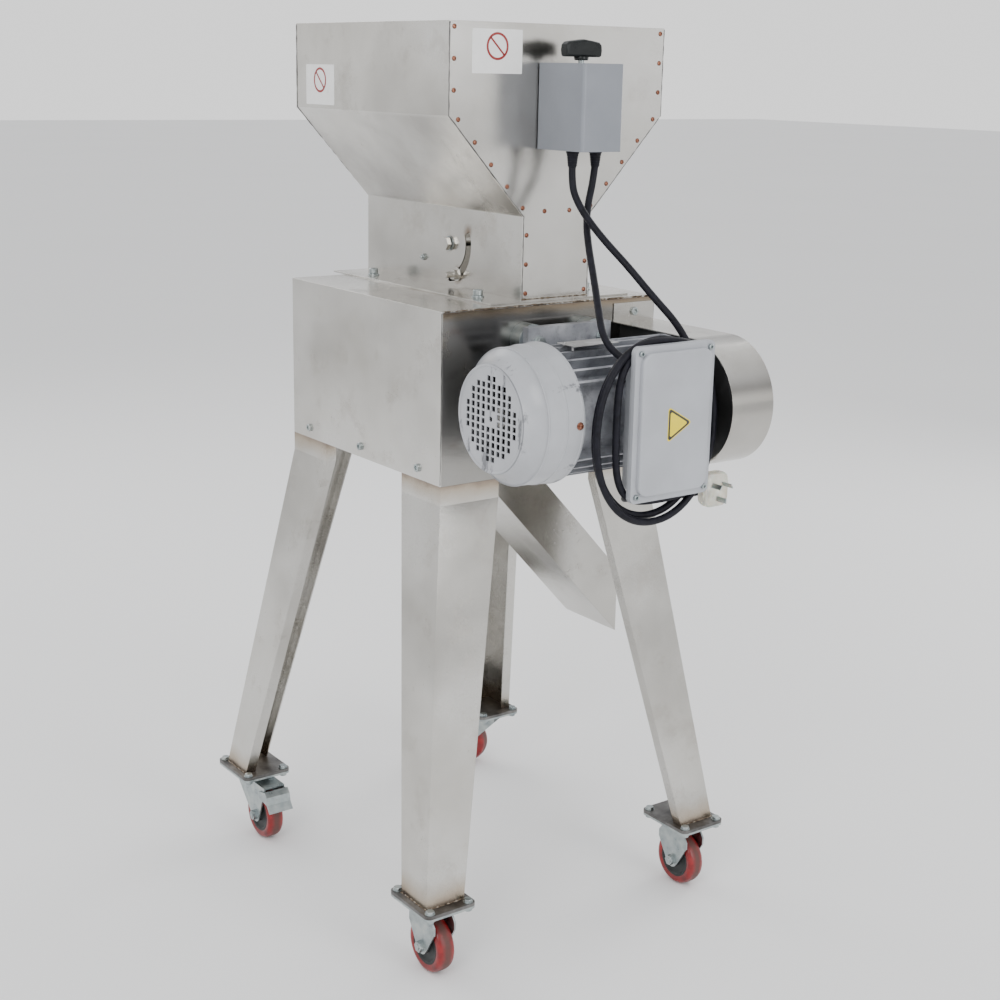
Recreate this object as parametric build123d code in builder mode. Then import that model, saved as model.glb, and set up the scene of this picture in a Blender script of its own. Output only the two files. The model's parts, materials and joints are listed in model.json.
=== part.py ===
from build123d import *
import os
from math import asin, atan2, ceil, cos, degrees, pi, radians, sin, sqrt, tan

# Grape crusher destemmer on four splayed legs with casters. Millimetres, +Z up.
# Origin: centre of the footprint, on the floor. +X points to the side where the outlet chute
# comes out, and the motor hangs on the front face, towards -Y.

# ---------------------------------------------------------------- driving dimensions
# housing
housing_width = 340.0
housing_depth = 375.0
housing_height = 219.5
sheet = 1.5
fit = 0.2                      # gap between sheets that slide into each other
pan_flange = 28.0
side_screw_positions = (52.0, 193.0, 330.0)
side_screw_height = 14.5

# casters and legs
wheel_diameter = 75.0
wheel_width = 25.0
caster_height = 100.0
caster_plate_thickness = 3.0
caster_trail = 34.0
race_height = 7.0
pedal_pin = (-56.0, 77.0)      # along the fork and above the floor
pedal_reach = 28.0
pedal_drop = 20.0
pedal_thickness = 2.2
pedal_ear = 2.0
pedal_side_gap = 0.4
axle_radius = 4.0
running_gap = 0.05
cheek_thickness = 2.5
cheek_gap = 2.0
foot_plate_thickness = 4.5
foot_plate_width = 76.0
foot_plate_depth = 92.0
foot_bolt_pitch_x = 58.0
foot_bolt_pitch_y = 76.0
leg_height = 523.0
leg_collar = 25.0
leg_top_width = 90.0
leg_foot_width = 58.0
leg_sheet = 2.0
leg_lip = 16.0
leg_splay_x = 74.0
leg_splay_y = 88.0
rear_right_swivel = 210.0      # how far the second swivel caster stands turned

# hopper
flange_thickness = 2.0
neck_width = 108.5
neck_height = 105.0
hopper_width = 337.0
hopper_depth = 375.0
hopper_slope_height = 124.0
hopper_rim_height = 111.0
hopper_centre_x = 27.0
hopper_setback = 32.0          # front plate of the hopper behind the front of the housing
hopper_lap = 14.0              # seam flange folded behind each end plate
rivet_inset = 6.5
rivet_spacing = 37.0
first_rivet = 7.0              # below the rim
throat_rivet_pitch = 40.0
throat_rivet_rise = 6.0
rivet_radius = 1.6
flange_side = 112.0
flange_bolt_x = 88.0
flange_bolt_positions = (80.0, 337.0)
flange_front_margin = 18.0

# feed gate
gate_depth_position = 196.5
gate_height = 58.5
gate_shaft_radius = 6.0
flap_half_length = 54.0
throat_half_length = 58.0
slot_radius = 44.5
slot_width = 13.0
slot_start_angle = 158.0
slot_end_angle = 272.0
stud_angle = 242.6
stud_radius = 4.0
stop_screw_position = 258.0
stop_screw_height = 34.0

# crusher rotor
rotor_height = 107.5           # shaft axis above the underside of the housing
rotor_shaft_radius = 12.5
drum_radius = 30.0
drum_length = 204.0
drum_end_gap = 6.0
finger_reach = 78.0
finger_count = 12              # crossed pairs along the drum
finger_width = 16.0
finger_thickness = 8.0
finger_inset = 6.0
finger_turn = 55.0             # each pair stands turned from the one before
trough_radius = 90.0
trough_left = -125.0
bulkhead_x = 97.0
bulkhead_thickness = 3.0
pulley_centre_x = 135.0
pulley_width = 30.0
driven_pitch_radius = 70.0
drive_pitch_radius = 35.0
belt_top_width = 13.0
belt_depth = 8.0
belt_above_pitch = 3.0
rim_above_pitch = 4.5

# outlet chute
chute_width = 118.0
chute_inlet = 90.0
chute_left = -48.0
chute_reach = 234.0
chute_drop = 303.5

# motor
motor_reach = 110.0            # motor axis in front of the housing
motor_foot_height = 90.0
motor_foot_half_pitch = 70.0
motor_foot_pitch = 100.0
motor_foot_first_x = -46.0
motor_shoulder = 56.0          # shaft shoulder beyond the second pair of foot holes
motor_shaft_radius = 12.0
motor_shaft_length = 50.0
frame_radius = 66.0
fin_radius = 80.0
fin_thickness = 3.0
fin_step = 12.0
frame_left = -96.0
frame_right = 92.0
foot_thickness = 12.0
foot_bolt_radius = 4.0
spacer_radius = 21.0
cover_radius = 85.5             # at the open rim
cover_waist_radius = 82.5       # where the shoulder starts
cover_bulge = 3.0               # how far the shoulder stands proud of a plain cone
cover_left = -173.5
cover_right = -99.0
cover_front_radius = 66.0
cover_shoulder = 24.0
grille_radius = 50.0
grille_centre_radius = 12.5    # left plain round the middle hole
grille_columns = 10
grille_rows = 12
grille_column_pitch = 10.4
grille_row_pitch = 8.8
grille_hole = 6.4

# terminal box on the motor
box_centre_x = 14.0
box_drop = 3.0                 # box centre below the motor axis
box_width = 104.0
box_height = 168.0
box_back = 83.0                # back of the box in front of the motor axis
box_depth = 23.0
box_wall = 3.0
lid_width = 124.0
lid_height = 188.0
lid_flange = 5.0
lid_crown = 6.0
lid_margin = 8.0
lid_screw_inset = 8.0

# belt guard
guard_left = 100.0
guard_reach = 152.0
guard_radius = 81.0
guard_tab = 24.0
guard_plate_x = 112.0

# switch box
switch_left = -9.0
switch_width = 63.0
switch_depth = 91.7
switch_height = 104.5
switch_below_rim = 46.5
knob_length = 56.0
knob_thickness = 15.0
knob_height = 21.0
knob_lift = 7.5
stem_radius = 4.0

# cords
cord_diameter = 9.0
relief_length = 20.0
gland_x = (3.0, 39.0)
gland_reach = 27.0
lead_entry_x = -30.0
lead_entry_rise = 71.0        # above the centre of the terminal box
coil_centre_x = 1.0
coil_drop = 12.0               # coil centre below the centre of the terminal box
coil_half_width = 98.0
coil_half_height = 120.0
coil_clearance = 1.0
plug_centre = (108.0, 632.0)
plug_width = 38.0
plug_height = 44.0
plug_thickness = 26.0

# ---------------------------------------------------------------- derived places
housing_half = housing_width / 2
guard_right = housing_half - sheet
front_reach = guard_reach + guard_radius
cheek_x = wheel_width / 2 + cheek_gap
pedal_half_width = cheek_x + cheek_thickness + pedal_side_gap + pedal_ear
pedal_slope = atan2(pedal_drop - 9, pedal_reach - 20)
pedal_tip = -pedal_pin[0] + pedal_reach + pedal_thickness * sin(pedal_slope)
swing = radians(rear_right_swivel - 180)
swing_reach = pedal_tip * cos(swing) + pedal_half_width * abs(sin(swing))
rear_overhang = max(foot_plate_depth / 2, swing_reach) - leg_foot_width / 2
rear_reach = housing_depth + leg_splay_y + rear_overhang
front_y = (front_reach - rear_reach) / 2
rear_y = front_y + housing_depth
mid_y = (front_y + rear_y) / 2
leg_base_z = caster_height + foot_plate_thickness
housing_base = leg_base_z + leg_height
housing_top = housing_base + housing_height

hopper_front = front_y + hopper_setback
hopper_rear = hopper_front + hopper_depth
neck_base = housing_top + flange_thickness
neck_top = neck_base + neck_height
slope_top = neck_top + hopper_slope_height
rim_top = slope_top + hopper_rim_height
neck_left = hopper_centre_x - neck_width / 2
neck_right = hopper_centre_x + neck_width / 2
hopper_left = hopper_centre_x - hopper_width / 2
hopper_right = hopper_centre_x + hopper_width / 2

gate_y = front_y + gate_depth_position
gate_z = housing_top + gate_height
rotor_y = gate_y
rotor_z = housing_base + rotor_height
chute_near = mid_y - chute_width / 2

motor_y = front_y - motor_reach
motor_z = rotor_z
shoulder_x = motor_foot_first_x + motor_foot_pitch + motor_shoulder
shaft_end_x = shoulder_x + motor_shaft_length
foot_face_y = motor_y + motor_foot_height
box_back_y = motor_y - box_back
box_front_y = box_back_y - box_depth
lid_face_y = box_front_y - lid_flange - lid_crown
box_z = motor_z - box_drop
lead_entry_z = box_z + lead_entry_rise
coil_centre = (coil_centre_x, box_z - coil_drop)
guard_y = front_y - guard_reach
guard_z = motor_z
coil_back_y = motor_y - fin_radius - 2 * coil_clearance
coil_front_y = box_front_y + box_wall + coil_clearance

os.makedirs("parts", exist_ok=True)


def save(builder, label):
    builder.part.label = label
    export_step(builder.part, "parts/" + label + ".step")


def side_plane(x):
    # sketch plane seen from +X: sketch x runs along +Y, sketch y along +Z
    return Plane(origin=(x, 0, 0), x_dir=(0, 1, 0), z_dir=(1, 0, 0))


def facing_front(y):
    # sketch plane seen from -Y: sketch x runs along +X, sketch y along +Z, normal towards -Y
    return Plane(origin=(0, y, 0), x_dir=(1, 0, 0), z_dir=(0, -1, 0))


def band(points, width, side):
    # closed strip of the given width along one side of a polyline
    with BuildLine() as outline:
        Polyline(*points)
        offset(amount=width, side=side, kind=Kind.INTERSECTION)
    return outline.line


# ---------------------------------------------------------------- housing
side_screw_y = [front_y + position for position in side_screw_positions]
side_screw_z = housing_base + side_screw_height
motor_bolt_x = (motor_foot_first_x, motor_foot_first_x + motor_foot_pitch)
motor_bolt_z = (motor_z - motor_foot_half_pitch, motor_z + motor_foot_half_pitch)
flange_bolt_places = [
    (hopper_centre_x + side * flange_bolt_x, front_y + position)
    for side in (-1, 1)
    for position in flange_bolt_positions
]
screw_radius = 3.0
flange_bolt_radius = 4.0
guard_mid_x = (guard_left + guard_right) / 2
guard_screw_z = (guard_z + guard_radius + guard_tab / 2, guard_z - guard_radius - guard_tab / 2)

with BuildPart() as housing_shell:
    with BuildSketch(facing_front(front_y)):
        with Locations((0, housing_base + housing_height / 2)):
            Rectangle(housing_width, housing_height)
        with Locations((0, housing_base + (housing_height - sheet) / 2)):
            Rectangle(housing_width - 2 * sheet, housing_height - sheet, mode=Mode.SUBTRACT)
    extrude(amount=-housing_depth)
    with BuildSketch(Plane.XY.offset(housing_top)):
        with Locations((hopper_centre_x, gate_y)):
            Rectangle(neck_width - 2 * sheet, 2 * throat_half_length - 2 * sheet)
        with Locations(*flange_bolt_places):
            Circle(flange_bolt_radius)
    extrude(amount=-sheet, mode=Mode.SUBTRACT)
    with BuildSketch(side_plane(-housing_half)):
        with Locations(*[(y, side_screw_z) for y in side_screw_y]):
            Circle(screw_radius)
    extrude(amount=housing_width, mode=Mode.SUBTRACT)
save(housing_shell, "housing_shell")

panel_width = housing_width - 2 * sheet - 2 * fit
panel_height = housing_height - sheet - fit
belt_window_left = guard_plate_x + sheet
belt_window_right = guard_right - 2 * sheet
belt_window_height = 2 * (driven_pitch_radius + belt_above_pitch)

with BuildPart() as housing_front_panel:
    with BuildSketch(facing_front(front_y)):
        with Locations((0, housing_base + panel_height / 2)):
            Rectangle(panel_width, panel_height)
        with Locations(((belt_window_left + belt_window_right) / 2, rotor_z)):
            Rectangle(belt_window_right - belt_window_left, belt_window_height, mode=Mode.SUBTRACT)
        with Locations(*[(x, z) for x in motor_bolt_x for z in motor_bolt_z]):
            Circle(foot_bolt_radius, mode=Mode.SUBTRACT)
        with Locations(*[(guard_mid_x, z) for z in guard_screw_z]):
            Circle(screw_radius, mode=Mode.SUBTRACT)
    extrude(amount=-sheet)
save(housing_front_panel, "housing_front_panel")

with BuildPart() as housing_rear_panel:
    with BuildSketch(facing_front(rear_y - sheet)):
        with Locations((0, housing_base + panel_height / 2)):
            Rectangle(panel_width, panel_height)
    extrude(amount=-sheet)
save(housing_rear_panel, "housing_rear_panel")

pan_depth = housing_depth - 2 * sheet - 2 * fit
with BuildPart() as housing_bottom_pan:
    with BuildSketch(facing_front(mid_y - pan_depth / 2)):
        with Locations((0, housing_base + pan_flange / 2)):
            Rectangle(panel_width, pan_flange)
        with Locations((0, housing_base + sheet + pan_flange / 2)):
            Rectangle(panel_width - 2 * sheet, pan_flange, mode=Mode.SUBTRACT)
    extrude(amount=-pan_depth)
    with BuildSketch(Plane.XY.offset(housing_base)):
        with Locations((chute_left + chute_inlet / 2, mid_y)):
            Rectangle(chute_inlet - 2 * sheet, chute_width - 2 * sheet)
    extrude(amount=sheet, mode=Mode.SUBTRACT)
    with BuildSketch(side_plane(-housing_half)):
        with Locations(*[(y, side_screw_z) for y in side_screw_y]):
            Circle(screw_radius)
    extrude(amount=housing_width, mode=Mode.SUBTRACT)
save(housing_bottom_pan, "housing_bottom_pan")

with BuildPart() as bulkhead:
    with BuildSketch(side_plane(bulkhead_x)):
        with Locations((mid_y, housing_base + (housing_height + sheet) / 2 - fit)):
            Rectangle(pan_depth, housing_height - 3 * sheet)
        with Locations((rotor_y, rotor_z)):
            Circle(rotor_shaft_radius + 4, mode=Mode.SUBTRACT)
    extrude(amount=bulkhead_thickness)
save(bulkhead, "bearing_bulkhead")

# ---------------------------------------------------------------- hopper
left_edge = [
    (hopper_left, rim_top),
    (hopper_left, slope_top),
    (neck_left, neck_top),
    (neck_left, neck_base),
]
right_edge = [(2 * hopper_centre_x - x, z) for x, z in left_edge]
end_outline = left_edge + right_edge[::-1]


def along(points, first, spacing):
    # places at an even spacing along the whole of a polyline, the first one near its start
    places = []
    ahead = first
    for (x0, z0), (x1, z1) in zip(points, points[1:]):
        length = sqrt((x1 - x0) ** 2 + (z1 - z0) ** 2)
        while ahead < length:
            places.append((x0 + (x1 - x0) * ahead / length, z0 + (z1 - z0) * ahead / length))
            ahead += spacing
        ahead -= length
    return places


inset_left = [
    (hopper_left + rivet_inset, rim_top),
    (hopper_left + rivet_inset, slope_top + rivet_inset / 2),
    (neck_left + rivet_inset, neck_top + rivet_inset / 2),
    (neck_left + rivet_inset, neck_base),
]
rivet_places = along(inset_left, first_rivet, rivet_spacing)
rivet_places += [(2 * hopper_centre_x - x, z) for x, z in rivet_places]
throat_rivets = [
    (hopper_centre_x + side * throat_rivet_pitch / 2, neck_top + throat_rivet_rise)
    for side in (-1, 1)
]
switch_base = rim_top - switch_below_rim - switch_height
switch_centre_x = switch_left + switch_width / 2
stem_y = hopper_front - switch_depth / 2


def hopper_end(y):
    with BuildPart() as plate:
        with BuildSketch(facing_front(y)):
            with BuildLine():
                Polyline(*end_outline, close=True)
            make_face()
            with Locations(*rivet_places, *throat_rivets):
                Circle(rivet_radius, mode=Mode.SUBTRACT)
        extrude(amount=-sheet)
    return plate


save(hopper_end(hopper_front), "hopper_front_plate")
save(hopper_end(hopper_rear - sheet), "hopper_rear_plate")


def hopper_side(edge, side):
    # folded side sheet with a seam flange behind each end plate
    with BuildPart() as folded:
        with BuildSketch(facing_front(hopper_front + sheet)):
            add(band(edge, sheet, side))
            make_face()
        extrude(amount=-(hopper_depth - 2 * sheet))
        for y in (hopper_front + sheet, hopper_rear - 2 * sheet):
            with BuildSketch(facing_front(y)):
                add(band(edge, hopper_lap, side))
                make_face()
                with Locations(*rivet_places):
                    Circle(rivet_radius, mode=Mode.SUBTRACT)
            extrude(amount=-sheet)
    return folded


slot_plane = side_plane(neck_left)
stop_screw_place = (front_y + stop_screw_position, housing_top + stop_screw_height)
with BuildPart() as hopper_left_sheet:
    add(hopper_side(left_edge, Side.LEFT).part)
    with BuildSketch(slot_plane):
        with Locations((gate_y, gate_z)):
            Circle(gate_shaft_radius + running_gap)
        with Locations(stop_screw_place):
            Circle(screw_radius)
    extrude(amount=sheet, mode=Mode.SUBTRACT)
    with BuildSketch(slot_plane):
        with BuildLine():
            outer = CenterArc((gate_y, gate_z), slot_radius + slot_width / 2, slot_start_angle,
                              slot_end_angle - slot_start_angle)
            inner = CenterArc((gate_y, gate_z), slot_radius - slot_width / 2, slot_start_angle,
                              slot_end_angle - slot_start_angle)
            Line(outer @ 0, inner @ 0)
            Line(outer @ 1, inner @ 1)
        make_face()
    extrude(amount=sheet, mode=Mode.SUBTRACT)
save(hopper_left_sheet, "hopper_left_sheet")

with BuildPart() as hopper_right_sheet:
    add(hopper_side(right_edge, Side.RIGHT).part)
    with BuildSketch(side_plane(neck_right)):
        with Locations((gate_y, gate_z)):
            Circle(gate_shaft_radius + running_gap)
    extrude(amount=-sheet, mode=Mode.SUBTRACT)
save(hopper_right_sheet, "hopper_right_sheet")


flange_front = front_y + flange_front_margin
with BuildPart() as hopper_flange:
    with BuildSketch(Plane.XY.offset(housing_top)):
        with Locations((hopper_centre_x, (flange_front + hopper_rear) / 2)):
            Rectangle(2 * flange_side, hopper_rear - flange_front)
        with Locations((hopper_centre_x, gate_y)):
            Rectangle(neck_width - 2 * sheet, 2 * throat_half_length - 2 * sheet, mode=Mode.SUBTRACT)
        with Locations(*flange_bolt_places):
            Circle(flange_bolt_radius, mode=Mode.SUBTRACT)
    extrude(amount=flange_thickness)
save(hopper_flange, "hopper_flange")


def throat_guide(wall_y, throat_y, side):
    # bent sheet that leads fruit from one end wall of the neck to the throat
    with BuildPart() as guide:
        with BuildSketch(side_plane(neck_left + sheet + fit)):
            add(band([(throat_y, neck_base), (throat_y, gate_z), (wall_y, neck_top)], sheet, side))
            make_face()
        extrude(amount=neck_width - 2 * sheet - 2 * fit)
    return guide.part


with BuildPart() as throat_guides:
    add(throat_guide(hopper_front + 2 * sheet + 1, gate_y - throat_half_length, Side.LEFT))
    add(throat_guide(hopper_rear - 2 * sheet - 1, gate_y + throat_half_length, Side.RIGHT))
save(throat_guides, "throat_guides")



def fastener(plane, places, head, head_height, shank, shank_length, direction):
    # round-headed fasteners: heads rise from the plane, shanks go the other way
    with BuildPart() as group:
        with BuildSketch(plane):
            with Locations(*places):
                Circle(head)
        extrude(amount=head_height * direction)
        with BuildSketch(plane):
            with Locations(*places):
                Circle(shank)
        extrude(amount=-shank_length * direction)
    return group.part


rivet_head = 2 * rivet_radius
rivet_head_height = 1.3
rivet_tail = 1.4 * rivet_radius
rivet_shank = rivet_radius - running_gap
with BuildPart() as hopper_rivets:
    for outer_y, direction in ((hopper_front, 1), (hopper_rear, -1)):
        outer_face = facing_front(outer_y)
        inner_face = facing_front(outer_y + 2 * sheet * direction)
        add(fastener(outer_face, rivet_places + throat_rivets, rivet_head, rivet_head_height, rivet_shank,
                     2 * sheet, direction))
        with BuildSketch(inner_face):
            with Locations(*rivet_places, *throat_rivets):
                Circle(rivet_tail)
        extrude(amount=-rivet_radius * direction)
save(hopper_rivets, "hopper_rivets")

screw_head = 5.5
screw_head_height = 3.2
screw_shank = screw_radius - running_gap
lid_screw_places = [
    (box_centre_x + sx * (lid_width / 2 - lid_screw_inset), box_z + sz * (lid_height / 2 - lid_screw_inset))
    for sx in (-1, 1)
    for sz in (-1, 1)
]
lid_screw_radius = 2.5
lid_screw_head = 3.6
lid_screw_head_height = 3.4
washer_radius = 8.0
washer_thickness = 1.6
bolt_head = 6.5
bolt_head_height = 8.0
m8_nut_radius = 7.2
flange_nut_thickness = 6.5
shank_end = 2.0                # how far a screw stands out behind what it holds
with BuildPart() as panel_screws:
    side_places = [(y, side_screw_z) for y in side_screw_y]
    for side in (-1, 1):
        add(fastener(side_plane(side * housing_half), side_places, screw_head, screw_head_height,
                     screw_shank, 2 * sheet + fit + shank_end, side))
    add(fastener(facing_front(front_y - sheet), [(guard_mid_x, z) for z in guard_screw_z], screw_head,
                 screw_head_height, screw_shank, 2 * sheet + shank_end, 1))
    add(fastener(slot_plane, [stop_screw_place], screw_head, screw_head_height, screw_shank, sheet, -1))
    add(fastener(facing_front(box_front_y - lid_flange), lid_screw_places, lid_screw_head,
                 lid_screw_head_height, lid_screw_radius - running_gap, lid_flange + box_wall, 1))
    washer_top = neck_base + washer_thickness
    for height, radius, thickness in (
        (neck_base, washer_radius, washer_thickness),
        (washer_top, bolt_head, bolt_head_height),
        (housing_top - sheet, m8_nut_radius, -flange_nut_thickness),
        (washer_top, flange_bolt_radius - running_gap,
         -(washer_top - housing_top + sheet + flange_nut_thickness)),
    ):
        with BuildSketch(Plane.XY.offset(height)):
            with Locations(*flange_bolt_places):
                Circle(radius)
        extrude(amount=thickness)
save(panel_screws, "panel_and_flange_screws")

# ---------------------------------------------------------------- feed gate
arm_gap = 0.6
arm_x = neck_left + sheet + arm_gap
arm_thickness = 2.5
flap_thickness = 3.0
shaft_overhang = 9.0
pivot_hex_radius = 9.5
pivot_hex_height = 6.0
stud_reach = 20.0
lock_washer_thickness = 1.6
lock_washer_gap = 0.4
lock_nut_radius = 7.5
lock_nut_thickness = 7.0
stud_y = gate_y + slot_radius * cos(radians(stud_angle))
stud_z = gate_z + slot_radius * sin(radians(stud_angle))
flap_direction = (0, cos(radians(stud_angle)), sin(radians(stud_angle)))


def gate_offset(x):
    # plane across the gate shaft, its sketch x along the flap
    return Plane(origin=(x, gate_y, gate_z), x_dir=flap_direction, z_dir=(1, 0, 0))


with BuildPart() as feed_gate:
    with BuildSketch(gate_offset(neck_left - shaft_overhang)):
        Circle(gate_shaft_radius)
    extrude(amount=neck_width + 2 * shaft_overhang)
    with BuildSketch(gate_offset(arm_x + arm_thickness)):
        Rectangle(2 * flap_half_length, flap_thickness)
    extrude(amount=neck_width - 2 * sheet - 2 * arm_thickness - 2 * arm_gap)
    with BuildSketch(gate_offset(arm_x)):
        SlotCenterToCenter(2 * slot_radius, 2.2 * gate_shaft_radius)
        with Locations((slot_radius, 0)):
            Circle(stud_radius + running_gap, mode=Mode.SUBTRACT)
    extrude(amount=arm_thickness)
    with BuildSketch(gate_offset(neck_left - shaft_overhang)):
        RegularPolygon(radius=pivot_hex_radius, side_count=6)
    extrude(amount=pivot_hex_height)
save(feed_gate, "feed_gate")

with BuildPart() as gate_lock:
    with BuildSketch(side_plane(neck_left - stud_reach)):
        with Locations((stud_y, stud_z)):
            Circle(stud_radius)
    extrude(amount=stud_reach + sheet + arm_gap + arm_thickness)
    with BuildSketch(side_plane(neck_left - lock_washer_gap)):
        with Locations((stud_y, stud_z)):
            Circle(2.3 * stud_radius)
    extrude(amount=-lock_washer_thickness)
    with BuildSketch(side_plane(neck_left - lock_washer_gap - lock_washer_thickness)):
        with Locations((stud_y, stud_z)):
            RegularPolygon(radius=lock_nut_radius, side_count=6)
    extrude(amount=-lock_nut_thickness)
save(gate_lock, "gate_lock_stud")

# ---------------------------------------------------------------- switch box and knob
gland_y = front_y - gland_reach
gland_places = [(x, gland_y) for x in gland_x]
with BuildPart() as switch_box:
    with BuildSketch(Plane.XY.offset(switch_base)):
        with Locations((switch_centre_x, hopper_front - switch_depth / 2)):
            RectangleRounded(switch_width, switch_depth, 4)
    extrude(amount=switch_height)
    with BuildSketch(Plane.XY.offset(switch_base + sheet)):
        with Locations((switch_centre_x, hopper_front - (switch_depth - sheet) / 2)):
            Rectangle(switch_width - 2 * sheet, switch_depth - sheet)
    extrude(amount=switch_height - 2 * sheet, mode=Mode.SUBTRACT)
    with BuildSketch(Plane.XY.offset(switch_base)):
        with Locations(*gland_places):
            Circle(cord_diameter / 2 + 1)
    extrude(amount=sheet, mode=Mode.SUBTRACT)
    with BuildSketch(Plane.XY.offset(switch_base + switch_height)):
        with Locations((switch_centre_x, stem_y)):
            Circle(stem_radius + running_gap)
    extrude(amount=-sheet, mode=Mode.SUBTRACT)
save(switch_box, "switch_box")

switch_top = switch_base + switch_height
block_size = 42.0
block_height = 48.0
block_top = switch_top - sheet
with BuildPart() as switch_block:
    with BuildSketch(Plane.XY.offset(block_top)):
        with Locations((switch_centre_x, stem_y)):
            Rectangle(block_size, block_size)
            Circle(stem_radius + running_gap, mode=Mode.SUBTRACT)
    extrude(amount=-block_height)
save(switch_block, "switch_block")

knob_base = switch_top + knob_lift
with BuildPart() as switch_knob:
    with BuildSketch(Plane.XY.offset(block_top - block_height / 2)):
        with Locations((switch_centre_x, stem_y)):
            Circle(stem_radius)
    extrude(amount=knob_base - block_top + block_height / 2)
    with BuildSketch(Plane.XY.offset(switch_top + 0.5)):
        with Locations((switch_centre_x, stem_y)):
            Circle(knob_thickness)
    extrude(amount=knob_lift - 0.5)
    with BuildSketch(Plane.XY.offset(knob_base)):
        with Locations((switch_centre_x, stem_y)):
            RectangleRounded(knob_length, knob_thickness, knob_thickness / 2 - 0.5)
    extrude(amount=knob_height)
    fillet(switch_knob.edges().group_by(Axis.Z)[-1], radius=3)
save(switch_knob, "switch_knob")

# ---------------------------------------------------------------- legs


def leg_section(height, corner_x, corner_y, side_x, side_y, width):
    # L of two outer walls with a lip folded inwards at each free edge
    wall = leg_sheet
    points = [
        (0, 0), (width, 0), (width, leg_lip), (width - wall, leg_lip), (width - wall, wall),
        (wall, wall), (wall, width - wall), (leg_lip, width - wall), (leg_lip, width), (0, width),
    ]
    with BuildSketch(Plane.XY.offset(height)) as section:
        with BuildLine():
            Polyline(*[(corner_x - side_x * a, corner_y - side_y * b) for a, b in points], close=True)
        make_face()
    return section.sketch


def leg(side_x, side_y):
    top_x = side_x * housing_half
    top_y = mid_y + side_y * housing_depth / 2
    foot = leg_section(leg_base_z, top_x + side_x * leg_splay_x, top_y + side_y * leg_splay_y,
                       side_x, side_y, leg_foot_width)
    top = leg_section(housing_base - leg_collar, top_x, top_y, side_x, side_y, leg_top_width)
    with BuildPart() as post:
        loft([foot.face(), top.face()], ruled=True)
        extrude(top, amount=leg_collar, dir=(0, 0, 1))
    return post


corners = {
    "front_left": (-1, -1),
    "front_right": (1, -1),
    "rear_left": (-1, 1),
    "rear_right": (1, 1),
}
foot_centres = {}
for name, (side_x, side_y) in corners.items():
    save(leg(side_x, side_y), "leg_" + name)
    foot_centres[name] = (
        side_x * (housing_half + leg_splay_x - leg_foot_width / 2),
        mid_y + side_y * (housing_depth / 2 + leg_splay_y - leg_foot_width / 2),
    )

# ---------------------------------------------------------------- casters
swivel_angles = {"rear_left": 0.0, "rear_right": rear_right_swivel}
wheel_radius = wheel_diameter / 2
foot_bolt_radius_plate = 3.0
foot_bolts = [
    (sx * foot_bolt_pitch_x / 2, sy * foot_bolt_pitch_y / 2) for sx in (-1, 1) for sy in (-1, 1)
]
kingpin_radius = 5.0
crown_z = caster_height - caster_plate_thickness - race_height - cheek_thickness
pin_radius = 2.5


def caster_base(name):
    # plane on the floor below a caster, turned with its fork
    x, y = foot_centres[name]
    angle = radians(swivel_angles.get(name, 0.0))
    return Plane(origin=(x, y, 0), x_dir=(cos(angle), sin(angle), 0), z_dir=(0, 0, 1))


def across(base, offset_x):
    # plane square to the axle: sketch x runs along the fork, sketch y upwards
    return Plane(origin=base.origin + base.x_dir * offset_x, x_dir=base.y_dir, z_dir=base.x_dir)


def level(base, height):
    return Plane(origin=base.origin + Vector(0, 0, height), x_dir=base.x_dir, z_dir=(0, 0, 1))


def mounting_plate(name, height, thickness):
    with BuildPart() as plate:
        with BuildSketch(Plane(origin=(*foot_centres[name], height))):
            RectangleRounded(foot_plate_width, foot_plate_depth, 8)
            with Locations(*foot_bolts):
                Circle(foot_bolt_radius_plate + running_gap, mode=Mode.SUBTRACT)
        extrude(amount=thickness)
    return plate.part


with BuildPart() as foot_plates:
    for name in corners:
        add(mounting_plate(name, caster_height, foot_plate_thickness))
save(foot_plates, "foot_plates")

bolt_bottom = caster_height - caster_plate_thickness
caster_hex_radius = 5.8
caster_head_height = 4.0
caster_nut_thickness = 4.5
thread_end = 1.5               # how far the bolt stands out of its nut
with BuildPart() as caster_bolts:
    for name in corners:
        base = Plane(origin=(*foot_centres[name], 0))
        for height, thickness in ((leg_base_z, caster_head_height), (bolt_bottom, -caster_nut_thickness)):
            with BuildSketch(level(base, height)):
                with Locations(*foot_bolts):
                    RegularPolygon(radius=caster_hex_radius, side_count=6)
            extrude(amount=thickness)
        bolt_end = bolt_bottom - caster_nut_thickness - thread_end
        with BuildSketch(level(base, bolt_end)):
            with Locations(*foot_bolts):
                Circle(foot_bolt_radius_plate)
        extrude(amount=leg_base_z - bolt_end)
save(caster_bolts, "caster_bolts")


def wheel(name, trail):
    base = caster_base(name)
    hub_radius = wheel_radius * 0.66
    with BuildPart() as assembly:
        hub_width = wheel_width + 2 * cheek_gap - 1
        for radius, inner, width in ((hub_radius, axle_radius + running_gap, hub_width),
                                     (wheel_radius, hub_radius, wheel_width)):
            with BuildSketch(across(base, -width / 2)):
                with Locations((-trail, wheel_radius)):
                    Circle(radius)
                    Circle(inner, mode=Mode.SUBTRACT)
            extrude(amount=width)
    return assembly


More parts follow.
